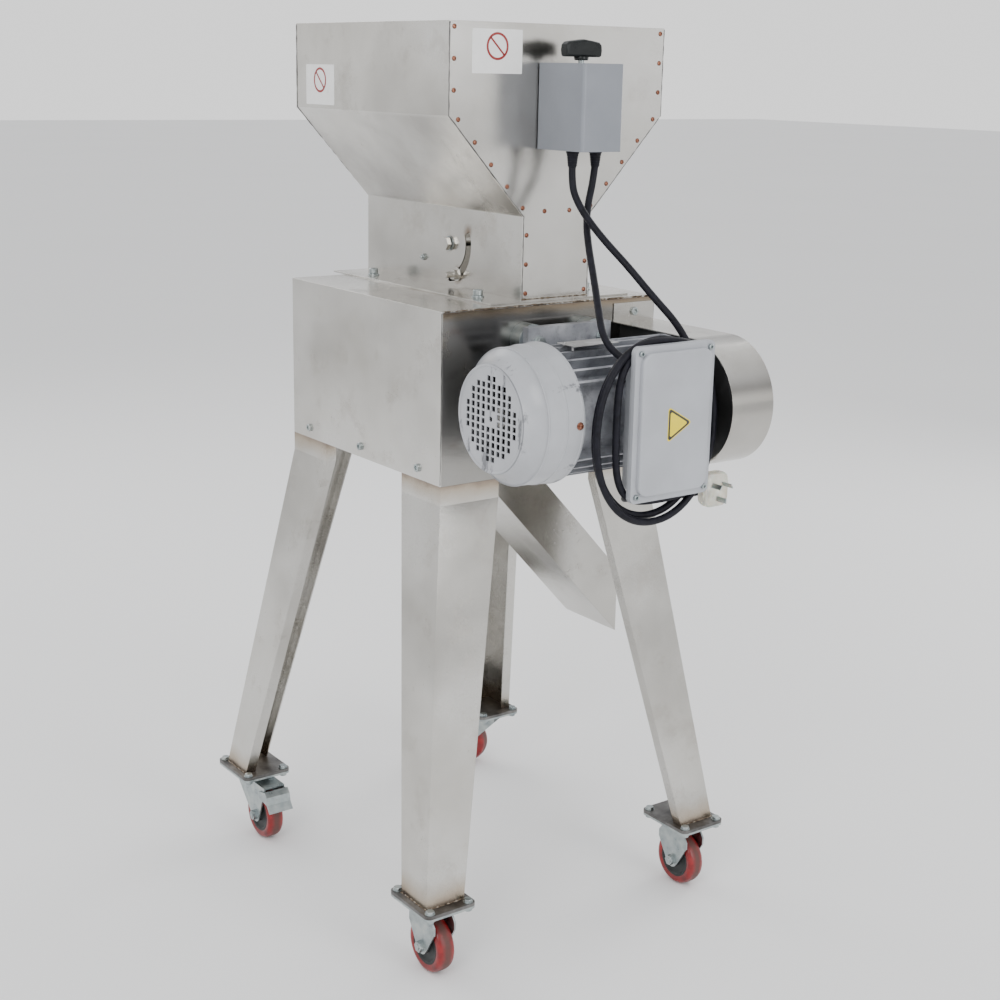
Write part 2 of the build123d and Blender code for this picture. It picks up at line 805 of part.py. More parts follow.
def rigid_fork(name):
    base = caster_base(name)
    with BuildPart() as fork:
        add(mounting_plate(name, caster_height - caster_plate_thickness, caster_plate_thickness))
        for offset_x in (cheek_x, -cheek_x - cheek_thickness):
            with BuildSketch(across(base, offset_x)):
                with BuildLine():
                    Polyline((-20, bolt_bottom), (-20, 86), (-29, 74), (-29, 64), (-11, wheel_radius - 4),
                             (11, wheel_radius - 4), (29, 64), (29, 74), (20, 86), (20, bolt_bottom),
                             close=True)
                make_face()
                with Locations((0, wheel_radius)):
                    Circle(11)
                    Circle(axle_radius + running_gap, mode=Mode.SUBTRACT)
            extrude(amount=cheek_thickness)
    return fork.part


def axle(base, trail):
    # axle bolt with a head on one cheek and a nut on the other
    outer = cheek_x + cheek_thickness
    with BuildPart() as bolt:
        with BuildSketch(across(base, -outer - 7)):
            with Locations((-trail, wheel_radius)):
                Circle(axle_radius)
        extrude(amount=2 * outer + 7)
        for offset_x, thickness in ((outer, 5.0), (-outer, -6.0)):
            with BuildSketch(across(base, offset_x)):
                with Locations((-trail, wheel_radius)):
                    RegularPolygon(radius=7.5, side_count=6)
            extrude(amount=thickness)
    return bolt.part


with BuildPart() as rigid_forks:
    for name in ("front_left", "front_right"):
        add(rigid_fork(name))
        add(axle(caster_base(name), 0))
save(rigid_forks, "rigid_forks")

with BuildPart() as swivel_plates:
    for name in swivel_angles:
        base = Plane(origin=(*foot_centres[name], 0))
        add(mounting_plate(name, caster_height - caster_plate_thickness, caster_plate_thickness))
        with BuildSketch(level(base, crown_z - 7)):
            Circle(kingpin_radius)
        extrude(amount=caster_height - crown_z + 7 - caster_plate_thickness)
        with BuildSketch(level(base, crown_z - 0.5)):
            Circle(9)
        extrude(amount=-5.5)
save(swivel_plates, "swivel_plates")


def swivel_fork(name):
    base = caster_base(name)
    rear = 24.0
    front = -64.0
    with BuildPart() as fork:
        with BuildSketch(level(base, crown_z)):
            with Locations((0, (rear + front) / 2)):
                Rectangle(2 * cheek_x + 2 * cheek_thickness, rear - front)
            Circle(kingpin_radius + running_gap, mode=Mode.SUBTRACT)
        extrude(amount=cheek_thickness)
        with BuildSketch(level(base, crown_z + cheek_thickness)):
            Circle(23)
            Circle(kingpin_radius + running_gap, mode=Mode.SUBTRACT)
        extrude(amount=race_height - 0.5)
        for offset_x in (cheek_x, -cheek_x - cheek_thickness):
            with BuildSketch(across(base, offset_x)):
                with BuildLine():
                    Polyline((rear, crown_z + cheek_thickness), (rear, crown_z - 6),
                             (-caster_trail + 9, wheel_radius - 6), (-caster_trail - 10, wheel_radius - 5),
                             (front + 8, 66), (front, 72), (front, crown_z + cheek_thickness), close=True)
                make_face()
                with Locations((-caster_trail, wheel_radius)):
                    Circle(11)
                    Circle(axle_radius + running_gap, mode=Mode.SUBTRACT)
                with Locations(pedal_pin):
                    Circle(pin_radius + running_gap, mode=Mode.SUBTRACT)
            extrude(amount=cheek_thickness)
        add(axle(base, caster_trail))
    return fork


def brake_pedal(name):
    base = caster_base(name)
    pin_y, pin_z = pedal_pin
    knee = [(pin_y - 12, pin_z + 9), (pin_y - 18, pin_z + 2), (pin_y - 20, pin_z - 9)]
    tread = knee + [(pin_y - pedal_reach, pin_z - pedal_drop)]
    with BuildPart() as pedal:
        with BuildSketch(across(base, -pedal_half_width)):
            with Locations(pedal_pin):
                Circle(pin_radius)
        extrude(amount=2 * pedal_half_width)
        with BuildSketch(across(base, -pedal_half_width)):
            add(band(tread, pedal_thickness, Side.RIGHT))
            make_face()
        extrude(amount=2 * pedal_half_width)
        for offset_x in (pedal_half_width - pedal_ear, -pedal_half_width):
            with BuildSketch(across(base, offset_x)):
                with BuildLine():
                    Polyline((pin_y + 5, pin_z - 5), (pin_y + 5, pin_z + 5), *knee, close=True)
                make_face()
            extrude(amount=pedal_ear)
    return pedal


for name, (side_x, side_y) in corners.items():
    save(wheel(name, caster_trail if name in swivel_angles else 0.0), "wheel_" + name)
for name in swivel_angles:
    save(swivel_fork(name), "swivel_fork_" + name)
    save(brake_pedal(name), "brake_pedal_" + name)

# ---------------------------------------------------------------- outlet chute
chute_angle = atan2(chute_drop, chute_reach - chute_left)
chute_right = chute_left + chute_inlet
chute_lip = chute_inlet * tan(chute_angle)
chute_outline = [
    (chute_left, housing_base),
    (chute_right, housing_base),
    (chute_reach, housing_base - chute_drop + chute_lip),
    (chute_reach, housing_base - chute_drop),
]
floor_shift = sheet / sin(chute_angle)
with BuildPart() as outlet_chute:
    with BuildSketch(facing_front(chute_near)):
        with BuildLine():
            Polyline(*chute_outline, close=True)
        make_face()
    extrude(amount=-chute_width)
    with BuildSketch(facing_front(chute_near + sheet)):
        with BuildLine():
            Polyline((chute_left + floor_shift, housing_base), (chute_right + 2 * chute_inlet, housing_base),
                     (chute_reach + 2 * chute_inlet, housing_base - chute_drop),
                     (chute_reach + floor_shift, housing_base - chute_drop), close=True)
        make_face()
    extrude(amount=-(chute_width - 2 * sheet), mode=Mode.SUBTRACT)
save(outlet_chute, "outlet_chute")

# ---------------------------------------------------------------- belt guard


def guard_outline(radius, back_y):
    # straight run from the housing that ends in a half round nose
    with BuildLine() as outline:
        Line((back_y, guard_z + radius), (guard_y, guard_z + radius))
        CenterArc((guard_y, guard_z), radius, 90, 180)
        Line((guard_y, guard_z - radius), (back_y, guard_z - radius))
        Line((back_y, guard_z - radius), (back_y, guard_z + radius))
    return outline.line


with BuildPart() as belt_guard:
    with BuildSketch(side_plane(guard_left)):
        add(guard_outline(guard_radius, front_y))
        make_face()
    extrude(amount=guard_right - guard_left)
    with BuildSketch(side_plane(guard_left)):
        add(guard_outline(guard_radius - sheet, front_y))
        make_face()
    extrude(amount=guard_right - guard_left - sheet, mode=Mode.SUBTRACT)
    with BuildSketch(facing_front(front_y)):
        with Locations(*[(guard_mid_x, z) for z in guard_screw_z]):
            Rectangle(guard_right - guard_left, guard_tab)
        with Locations(*[(guard_mid_x, z) for z in guard_screw_z]):
            Circle(screw_radius, mode=Mode.SUBTRACT)
    extrude(amount=sheet)
save(belt_guard, "belt_guard")

with BuildPart() as guard_back_plate:
    with BuildSketch(side_plane(guard_plate_x)):
        add(guard_outline(guard_radius - sheet - fit, front_y - fit))
        make_face()
        with Locations((motor_y, motor_z)):
            Circle(motor_shaft_radius + 4, mode=Mode.SUBTRACT)
    extrude(amount=sheet)
save(guard_back_plate, "guard_back_plate")

# ---------------------------------------------------------------- motor


def ring(plane, centre, outer, inner, length):
    with BuildPart() as piece:
        with BuildSketch(plane):
            with Locations(centre):
                Circle(outer)
                Circle(inner, mode=Mode.SUBTRACT)
        extrude(amount=length)
    return piece.part


motor_axis = (motor_y, motor_z)
bearing_outer = 26.0
bearing_width = 14.0
stator_inner = 44.0
frame_inner = 58.0
core_left = -62.0
core_length = 116.0
fin_angles = [
    angle
    for angle in range(0, 360, int(fin_step))
    if abs(angle - 180) > 34 and 40 < angle < 320
]
foot_left = motor_foot_first_x - 16
foot_length = motor_foot_pitch + 32
pedestal_width = 72.0
pedestal_height = 90.0

with BuildPart() as motor_frame:
    with BuildSketch(side_plane(frame_left)):
        with Locations(motor_axis):
            Circle(frame_radius)
    extrude(amount=frame_right - frame_left)
    with BuildSketch(side_plane(frame_left)):
        for angle in fin_angles:
            reach = (frame_radius - 2 + fin_radius) / 2
            with Locations(Location((motor_y + reach * cos(radians(angle)),
                                     motor_z + reach * sin(radians(angle)), 0), (0, 0, angle))):
                Rectangle(fin_radius - frame_radius + 2, fin_thickness)
    extrude(amount=frame_right - frame_left)
    for side in (-1, 1):
        with BuildSketch(side_plane(foot_left)):
            foot_middle_y = motor_y + motor_foot_height - foot_thickness / 2
            with Locations((foot_middle_y, motor_z + side * motor_foot_half_pitch)):
                Rectangle(foot_thickness, 38)
            with Locations((motor_y + motor_foot_height / 2 + 4, motor_z + side * 48)):
                Rectangle(motor_foot_height - 8, 13)
        extrude(amount=foot_length)
    with BuildSketch(facing_front(motor_y - frame_inner)):
        with Locations((box_centre_x, box_z)):
            RectangleRounded(pedestal_width, pedestal_height, 12)
    extrude(amount=box_back - frame_inner)
    with BuildSketch(side_plane(frame_left)):
        with Locations(motor_axis):
            Circle(frame_inner)
    extrude(amount=frame_right - frame_left, mode=Mode.SUBTRACT)
    with BuildSketch(facing_front(motor_y)):
        with Locations(*[(x, z) for x in motor_bolt_x for z in motor_bolt_z]):
            Circle(foot_bolt_radius + running_gap)
    extrude(amount=-motor_foot_height, mode=Mode.SUBTRACT)
save(motor_frame, "motor_frame")

with BuildPart() as stator:
    add(ring(side_plane(core_left), motor_axis, frame_inner - running_gap, stator_inner, core_length))
save(stator, "stator")

shield_radius = 80.0
shield_depth = 18.0
cone_radius = 62.0
cover_lug_gap = 1.1
cover_lug_width = 14.0
cover_lug_length = 8.0
cover_seat = cover_radius - sheet - cover_lug_gap    # lugs that carry the fan cover
with BuildPart() as motor_end_shields:
    left_bore_end = frame_left - shield_depth
    for edge, outward, bore_end in ((frame_right, 1, shoulder_x), (frame_left, -1, left_bore_end)):
        with BuildSketch(Plane.XY.offset(motor_z)):
            with BuildLine():
                Polyline((edge, motor_y - shield_radius), (edge + 4 * outward, motor_y - shield_radius),
                         (edge + 6 * outward, motor_y - shield_radius + 6),
                         (bore_end, motor_y - cone_radius),
                         (bore_end, motor_y - motor_shaft_radius - 2),
                         (bore_end - 2 * outward, motor_y - motor_shaft_radius - 2),
                         (bore_end - 2 * outward, motor_y - bearing_outer), (edge, motor_y - bearing_outer),
                         close=True)
            make_face()
        revolve(axis=Axis((0, motor_y, motor_z), (1, 0, 0)))
    with BuildSketch(side_plane(frame_left - 12)):
        for angle in (45, 135, 225, 315):
            reach = (cone_radius + cover_seat) / 2
            with Locations(Location((motor_y + reach * cos(radians(angle)),
                                     motor_z + reach * sin(radians(angle)), 0), (0, 0, angle))):
                Rectangle(cover_seat - cone_radius, cover_lug_width)
    extrude(amount=cover_lug_length)
save(motor_end_shields, "motor_end_shields")

air_gap = 0.6
rotor_core_radius = stator_inner - air_gap
shaft_left = -160.0
with BuildPart() as motor_shaft:
    with BuildSketch(side_plane(shaft_left)):
        with Locations(motor_axis):
            Circle(motor_shaft_radius)
    extrude(amount=shaft_end_x - shaft_left)
    with BuildSketch(side_plane(core_left)):
        with Locations(motor_axis):
            Circle(rotor_core_radius)
    extrude(amount=core_length)
save(motor_shaft, "motor_shaft")

fan_left = -150.0
fan_hub_radius = 20.0
fan_hub_length = 28.0
fan_disc_radius = 72.0
fan_disc_thickness = 3.0
blade_count = 8
blade_middle = 45.0
blade_length = 52.0
blade_thickness = 3.0
blade_inset = 4.0
with BuildPart() as motor_fan:
    with BuildSketch(side_plane(fan_left)):
        with Locations(motor_axis):
            Circle(fan_hub_radius)
            Circle(motor_shaft_radius + running_gap, mode=Mode.SUBTRACT)
    extrude(amount=fan_hub_length)
    disc_x = fan_left + fan_hub_length - fan_disc_thickness
    with BuildSketch(side_plane(disc_x)):
        with Locations(motor_axis):
            Circle(fan_disc_radius)
            Circle(fan_hub_radius - 2, mode=Mode.SUBTRACT)
    extrude(amount=fan_disc_thickness)
    with BuildSketch(side_plane(fan_left + blade_inset)):
        for blade in range(blade_count):
            angle = blade * 360 / blade_count
            place = (motor_y + blade_middle * cos(radians(angle)),
                     motor_z + blade_middle * sin(radians(angle)), 0)
            with Locations(Location(place, (0, 0, angle))):
                Rectangle(blade_length, blade_thickness)
    extrude(amount=disc_x - fan_left - blade_inset + 1)
save(motor_fan, "motor_fan")

grille_grid = [
    (
        grille_column_pitch * (column + 0.5 - grille_columns / 2),
        grille_row_pitch * (row + 0.5 - grille_rows / 2),
    )
    for column in range(grille_columns)
    for row in range(grille_rows)
]
grille_places = [
    (motor_y + across_cover, motor_z + up_cover)
    for across_cover, up_cover in grille_grid
    if grille_centre_radius < sqrt(across_cover**2 + up_cover**2) < grille_radius
]
with BuildPart() as fan_cover:
    with BuildSketch(Plane.XY.offset(motor_z)):
        with BuildLine():
            shoulder_start = (cover_left, motor_y - cover_front_radius)
            shoulder_end = (cover_left + cover_shoulder, motor_y - cover_waist_radius)
            SagittaArc(shoulder_end, shoulder_start, -cover_bulge)
            Line(shoulder_start, (cover_left, motor_y))
            Line((cover_left, motor_y), (cover_left + sheet, motor_y))
            Line((cover_left + sheet, motor_y),
                 (cover_left + sheet, motor_y - cover_front_radius + sheet))
            inner_end = (cover_left + cover_shoulder, motor_y - cover_waist_radius + sheet)
            SagittaArc(inner_end, (cover_left + sheet, motor_y - cover_front_radius + sheet), -cover_bulge)
            Line(inner_end, (cover_right, motor_y - cover_radius + sheet))
            Line((cover_right, motor_y - cover_radius + sheet), (cover_right, motor_y - cover_radius))
            Line((cover_right, motor_y - cover_radius), shoulder_end)
        make_face()
    revolve(axis=Axis((0, motor_y, motor_z), (1, 0, 0)))
    with BuildSketch(side_plane(cover_left)):
        with Locations(*grille_places):
            Rectangle(grille_hole, grille_hole)
        with Locations(motor_axis):
            Circle(grille_hole / 2)
    extrude(amount=sheet, mode=Mode.SUBTRACT)
save(fan_cover, "fan_cover")

spacer_length = front_y - (motor_y + motor_foot_height)
motor_nut_thickness = 6.0
washer_sheet = 1.6
foot_top = motor_y + motor_foot_height - foot_thickness
bolt_front = foot_top - motor_nut_thickness
motor_bolt_length = foot_thickness + spacer_length + motor_nut_thickness + sheet + 8
with BuildPart() as motor_mounting:
    for x in motor_bolt_x:
        for z in motor_bolt_z:
            with BuildSketch(facing_front(front_y)):
                with Locations((x, z)):
                    Circle(spacer_radius)
                    Circle(foot_bolt_radius + running_gap, mode=Mode.SUBTRACT)
            extrude(amount=spacer_length)
            with BuildSketch(facing_front(foot_top)):
                with Locations((x, z)):
                    Circle(washer_radius)
            extrude(amount=washer_sheet)
            with BuildSketch(facing_front(foot_top - washer_sheet)):
                with Locations((x, z)):
                    RegularPolygon(radius=m8_nut_radius, side_count=6)
            extrude(amount=motor_nut_thickness)
            with BuildSketch(facing_front(bolt_front)):
                with Locations((x, z)):
                    Circle(foot_bolt_radius)
            extrude(amount=-motor_bolt_length)
            with BuildSketch(facing_front(front_y + sheet)):
                with Locations((x, z)):
                    RegularPolygon(radius=m8_nut_radius, side_count=6)
            extrude(amount=-motor_nut_thickness)
save(motor_mounting, "motor_bolts_and_spacers")

plate_z = motor_z + fin_radius + 2.5
plate_x = -43.0
post_spread = 30.0
post_leans = (fin_step / 2, fin_step * 3 / 2)
plate_y = motor_y - fin_radius * sum(sin(radians(lean)) for lean in post_leans) / 2
with BuildPart() as nameplate:
    with BuildSketch(Plane.XY.offset(plate_z)):
        with Locations((plate_x, plate_y)):
            RectangleRounded(70, 34, 2)
    extrude(amount=0.8)
    for lean in post_leans:
        post_y = motor_y - fin_radius * sin(radians(lean))
        foot_z = motor_z + fin_radius * cos(radians(lean)) + fin_thickness / 2 * sin(radians(lean)) + fit
        with BuildSketch(Plane.XY.offset(foot_z)):
            with Locations((plate_x - post_spread, post_y), (plate_x + post_spread, post_y)):
                Circle(1.6)
        extrude(amount=plate_z - foot_z + 2)
save(nameplate, "nameplate")

# ---------------------------------------------------------------- terminal box
box_place = (box_centre_x, box_z)
with BuildPart() as terminal_box:
    with BuildSketch(facing_front(box_back_y)):
        with Locations(box_place):
            RectangleRounded(box_width, box_height, 10)
    extrude(amount=box_depth)
    with BuildSketch(facing_front(box_front_y + box_wall)):
        with Locations(box_place):
            RectangleRounded(lid_width, lid_height, lid_margin)
    extrude(amount=box_wall)
    with BuildSketch(facing_front(box_back_y - box_wall)):
        with Locations(box_place):
            RectangleRounded(box_width - 2 * box_wall, box_height - 2 * box_wall, 8)
    extrude(amount=box_depth, mode=Mode.SUBTRACT)
    with BuildSketch(facing_front(box_back_y)):
        with Locations((lead_entry_x, lead_entry_z)):
            Circle(cord_diameter / 2 + 1)
    extrude(amount=box_wall, mode=Mode.SUBTRACT)
    with BuildSketch(facing_front(box_front_y)):
        with Locations(*lid_screw_places):
            Circle(lid_screw_radius)
    extrude(amount=-box_wall, mode=Mode.SUBTRACT)
save(terminal_box, "terminal_box")

with BuildPart() as terminal_lid:
    with BuildSketch(facing_front(box_front_y)):
        with Locations(box_place):
            RectangleRounded(lid_width, lid_height, lid_margin)
        with Locations(*lid_screw_places):
            Circle(lid_screw_radius, mode=Mode.SUBTRACT)
    extrude(amount=lid_flange)
    with BuildSketch(facing_front(box_front_y - lid_flange)):
        with Locations(box_place):
            RectangleRounded(lid_width - 2 * lid_margin, lid_height - 2 * lid_margin, 14)
        with Locations(*lid_screw_places):
            Circle(lid_screw_head + 1.5, mode=Mode.SUBTRACT)
    extrude(amount=lid_crown)
    fillet(terminal_lid.faces().sort_by(Axis.Y)[0].outer_wire().edges(), radius=2.5)
    with BuildSketch(facing_front(box_front_y)):
        with Locations(box_place):
            RectangleRounded(lid_width - 4 * lid_margin, lid_height - 4 * lid_margin, 10)
    extrude(amount=lid_flange + lid_crown - box_wall, mode=Mode.SUBTRACT)
save(terminal_lid, "terminal_lid")

inside_y = box_back_y - box_wall
terminal_block_shift = -10.0
terminal_block_width = 34.0
terminal_block_height = 60.0
terminal_block_depth = 14.0
capacitor_shift = 30.0
capacitor_radius = 11.8
capacitor_length = 110.0
capacitor_drop = 60.0
with BuildPart() as terminal_block:
    with BuildSketch(facing_front(inside_y)):
        with Locations((box_centre_x + terminal_block_shift, box_z)):
            Rectangle(terminal_block_width, terminal_block_height)
    extrude(amount=terminal_block_depth)
    with BuildSketch(Plane.XY.offset(box_z - capacitor_drop)):
        with Locations((box_centre_x + capacitor_shift, inside_y - capacitor_radius - fit)):
            Circle(capacitor_radius)
    extrude(amount=capacitor_length)
save(terminal_block, "terminal_block_and_capacitor")

# ---------------------------------------------------------------- crusher rotor and belt drive
rotor_axis = (rotor_y, rotor_z)
bearing_flange_radius = 44.0
bearing_boss_radius = 26.0
bearing_flange = 8.0
bush_thickness = 1.2
left_bearing_x = -housing_half + sheet
bulkhead_face = bulkhead_x + bulkhead_thickness
rotor_shaft_left = left_bearing_x + 3
rotor_shaft_right = pulley_centre_x + pulley_width / 2 + 2
bore = rotor_shaft_radius + running_gap
with BuildPart() as bearings:
    add(ring(side_plane(left_bearing_x), rotor_axis, bearing_flange_radius, bore, bearing_flange))
    add(ring(side_plane(left_bearing_x + bearing_flange), rotor_axis, bearing_boss_radius, bore, 12))
    add(ring(side_plane(bulkhead_face), rotor_axis, bearing_flange_radius, bore, bearing_flange))
    add(ring(side_plane(bulkhead_face + bearing_flange), rotor_axis, bearing_boss_radius, bore, 8))
    for x in (shoulder_x - 2 - bearing_width, frame_left - shield_depth + 2):
        add(ring(side_plane(x), motor_axis, bearing_outer - running_gap, motor_shaft_radius + running_gap,
                 bearing_width))
    for x in (neck_left - bush_thickness, neck_right):
        add(ring(side_plane(x), (gate_y, gate_z), gate_shaft_radius + 4, gate_shaft_radius + running_gap,
                 bush_thickness))
save(bearings, "bearings_and_bushes")

with BuildPart() as crusher_shaft:
    with BuildSketch(side_plane(rotor_shaft_left)):
        with Locations(rotor_axis):
            Circle(rotor_shaft_radius)
    extrude(amount=rotor_shaft_right - rotor_shaft_left)
save(crusher_shaft, "crusher_shaft")

drum_left = trough_left + sheet + drum_end_gap
finger_pitch = (drum_length - 2 * finger_inset - finger_thickness) / (finger_count - 1)
finger_root = drum_radius + running_gap
finger_middle = (finger_root + finger_reach) / 2
with BuildPart() as crusher_drum:
    add(ring(side_plane(drum_left), rotor_axis, drum_radius, bore, drum_length))
    for finger in range(finger_count):
        with BuildSketch(side_plane(drum_left + finger_inset + finger * finger_pitch)):
            for angle in (finger * finger_turn, finger * finger_turn + 180):
                place = (rotor_y + finger_middle * cos(radians(angle)),
                         rotor_z + finger_middle * sin(radians(angle)), 0)
                with Locations(Location(place, (0, 0, angle))):
                    Rectangle(finger_reach - finger_root, finger_width)
        extrude(amount=finger_thickness)
save(crusher_drum, "crusher_drum")

trough_top = housing_top - sheet
trough_length = bulkhead_x - fit - trough_left
wall_height = trough_top - rotor_z
trough_flange = 12.0
hole_rows = range(-60, 61, 20)
hole_columns = 9
hole_pitch = 10.0
hole_radius = 3.5
first_hole_x = chute_left - 34
with BuildPart() as sieve:
    with BuildSketch(side_plane(trough_left)):
        for side in (-1, 1):
            with Locations((rotor_y + side * (trough_radius + trough_flange / 2), trough_top - sheet / 2)):
                Rectangle(trough_flange, sheet)
        with Locations((rotor_y, rotor_z + wall_height / 2)):
            Rectangle(2 * trough_radius + 2 * sheet, wall_height)
        with Locations(rotor_axis):
            Circle(trough_radius + sheet)
    extrude(amount=trough_length)
    with BuildSketch(side_plane(trough_left + sheet)):
        with Locations((rotor_y, rotor_z + wall_height / 2)):
            Rectangle(2 * trough_radius, wall_height)
        with Locations(rotor_axis):
            Circle(trough_radius)
    extrude(amount=trough_length, mode=Mode.SUBTRACT)
    with BuildSketch(side_plane(trough_left)):
        with Locations(rotor_axis):
            Circle(rotor_shaft_radius + 2)
    extrude(amount=sheet, mode=Mode.SUBTRACT)
    for row in hole_rows:
        direction = (0, sin(radians(row)), -cos(radians(row)))
        row_plane = Plane(origin=(0, rotor_y, rotor_z), x_dir=(1, 0, 0), z_dir=direction)
        with BuildSketch(row_plane.offset(trough_radius - 4)):
            for column in range(hole_columns):
                with Locations((first_hole_x + column * hole_pitch, 0)):
                    Circle(hole_radius)
        extrude(amount=8, mode=Mode.SUBTRACT)
save(sieve, "sieve_trough")


def pulley(axis, pitch_radius, shaft_radius):
    # V-belt pulley turned on its shaft, groove a little wider than the belt
    y, z = axis
    rim = pitch_radius + rim_above_pitch
    belt_inner = pitch_radius + belt_above_pitch - belt_depth
    root = belt_inner - 1.5
    half_top = belt_top_width / 2 + 0.4 + (rim - pitch_radius - belt_above_pitch) * tan(radians(18))
    half_root = half_top - (rim - root) * tan(radians(18))
    left = pulley_centre_x - pulley_width / 2
    right = pulley_centre_x + pulley_width / 2
    profile = [
        (left, shaft_radius + running_gap), (left, rim), (pulley_centre_x - half_top, rim),
        (pulley_centre_x - half_root, root), (pulley_centre_x + half_root, root),
        (pulley_centre_x + half_top, rim), (right, rim), (right, shaft_radius + running_gap),
    ]
    with BuildPart() as wheel_part:
        with BuildSketch(Plane.XY.offset(z)):
            with BuildLine():
                Polyline(*[(x, y + radius) for x, radius in profile], close=True)
            make_face()
        revolve(axis=Axis((0, y, z), (1, 0, 0)))
    return wheel_part


save(pulley(rotor_axis, driven_pitch_radius, rotor_shaft_radius), "driven_pulley")
save(pulley(motor_axis, drive_pitch_radius, motor_shaft_radius), "drive_pulley")

belt_span = rotor_y - motor_y
belt_lean = degrees(asin((driven_pitch_radius - drive_pitch_radius) / belt_span))


def belt_loop(offset_radius):
    # closed line round both pulleys: two arcs joined by their common tangents
    with BuildLine() as loop:
        near = CenterArc(motor_axis, drive_pitch_radius + offset_radius, 90 + belt_lean,
                         180 - 2 * belt_lean)
        far = CenterArc(rotor_axis, driven_pitch_radius + offset_radius, -90 - belt_lean,
                        180 + 2 * belt_lean)
        Line(far @ 1, near @ 0)
        Line(near @ 1, far @ 0)
    return loop.line


belt_bottom_width = belt_top_width - 2 * belt_depth * tan(radians(18))
with BuildPart() as drive_belt:
    layers = 4
    for layer in range(layers):
        outer_offset = belt_above_pitch - belt_depth * layer / layers
        inner_offset = belt_above_pitch - belt_depth * (layer + 1) / layers
        width = belt_top_width - (belt_top_width - belt_bottom_width) * (layer + 0.5) / layers
        with BuildSketch(side_plane(pulley_centre_x - width / 2)):
            add(belt_loop(outer_offset))
            make_face()
            with BuildSketch(mode=Mode.PRIVATE) as hole:
                add(belt_loop(inner_offset))
                make_face()
            add(hole.sketch, mode=Mode.SUBTRACT)
        extrude(amount=width)
save(drive_belt, "drive_belt")


# ---------------------------------------------------------------- cords
cord_radius = cord_diameter / 2
gland_radius = 8.0
gland_taper = 7.0
box_gland_length = 12.0
with BuildPart() as cable_glands:
    for x, y in gland_places:
        gland_plane = Plane(origin=(x, y, switch_base), x_dir=(1, 0, 0), z_dir=(0, 0, -1))
        with BuildSketch(gland_plane):
            Circle(gland_radius)
        extrude(amount=relief_length, taper=gland_taper)
        with BuildSketch(gland_plane):
            Circle(cord_radius + 1 - fit)
        extrude(amount=-sheet - 4)
    entry_plane = Plane(origin=(lead_entry_x, box_back_y, lead_entry_z), x_dir=(1, 0, 0), z_dir=(0, 1, 0))
    with BuildSketch(entry_plane):
        Circle(gland_radius - 1)
    extrude(amount=box_gland_length, taper=gland_taper)
    with BuildSketch(entry_plane):
        Circle(cord_radius + 1 - fit)
    extrude(amount=-box_wall)
save(cable_glands, "cable_glands")

seat = 2.0                     # how far a cord's end sits inside its gland
power_route = [
    (gland_x[0], gland_y, switch_base - relief_length + seat),
    (1, -172, 996), (4, -182, 975), (7, -201, 955), (14, -225, 932), (27, -255, 904),
    (39, -287, 872), (60, -322, 833), (80, -341, 788),
]
tail_route = [
    (35, -342, 633.5), (17, -324, 631), (11, -300, 625), (17, -276, 617), (35, -258, 611),
    (59, -252, 608), (83, -258, 608), (101, -276, 610), (107, -300, 616), (108, -323, 626),
]
lead_route = [
    (gland_x[1], gland_y, switch_base - relief_length + seat),
    (35, -171, 998), (25, -176, 976), (14, -187, 950), (4, -206, 922), (-7, -230, 893),
    (-23, -261, 858), (-37, -288, 829), (-36, -307, 812),
    (lead_entry_x, box_back_y + box_gland_length - seat, lead_entry_z),
]


def cord(route, label):
    # round cord along straight runs joined by tangent arcs, each as large as its runs allow
    corners_of_route = [Vector(*point) for point in route]
    radii = []
    for before, corner, after in zip(corners_of_route, corners_of_route[1:], corners_of_route[2:]):
        turn = radians((corner - before).get_angle(after - corner))
        run = min((corner - before).length, (after - corner).length)
        radii.append(0.45 * run / tan(turn / 2))
    print(label, "bend radii", [round(radius, 1) for radius in radii])
    with BuildPart() as tube:
        with BuildLine() as path:
            FilletPolyline(*corners_of_route, radius=radii)
        with BuildSketch(Plane(origin=path.line @ 0, z_dir=path.line % 0)):
            Circle(cord_radius)
        sweep(path=path.line)
    length = sum(edge.length for edge in path.edges())
    print(label, "volume", round(tube.part.volume), "section times length",
          round(pi * cord_radius**2 * length), "length", round(length, 1))
    return tube.part


with BuildPart() as power_cord:
    add(cord(power_route, "power cord"))
    add(cord(tail_route, "cord tail"))
save(power_cord, "power_cord")

with BuildPart() as switch_lead:
    add(cord(lead_route, "switch lead"))
save(switch_lead, "switch_lead")

coil_gap = 9.0
coil_corner = 18.0
coil_top_gap = 0.6
coil_inner_top = box_z + box_height / 2 + coil_top_gap
coil_inner_bottom = box_z - box_height / 2 - coil_gap
with BuildPart() as cord_coil:
    with BuildSketch(facing_front(coil_back_y)):
        with Locations(coil_centre):
            Ellipse(coil_half_width, coil_half_height)
        with Locations((box_centre_x, (coil_inner_top + coil_inner_bottom) / 2)):
            RectangleRounded(box_width + 2 * coil_gap, coil_inner_top - coil_inner_bottom, coil_corner,
                             mode=Mode.SUBTRACT)
    extrude(amount=coil_back_y - coil_front_y)
save(cord_coil, "cord_coil")

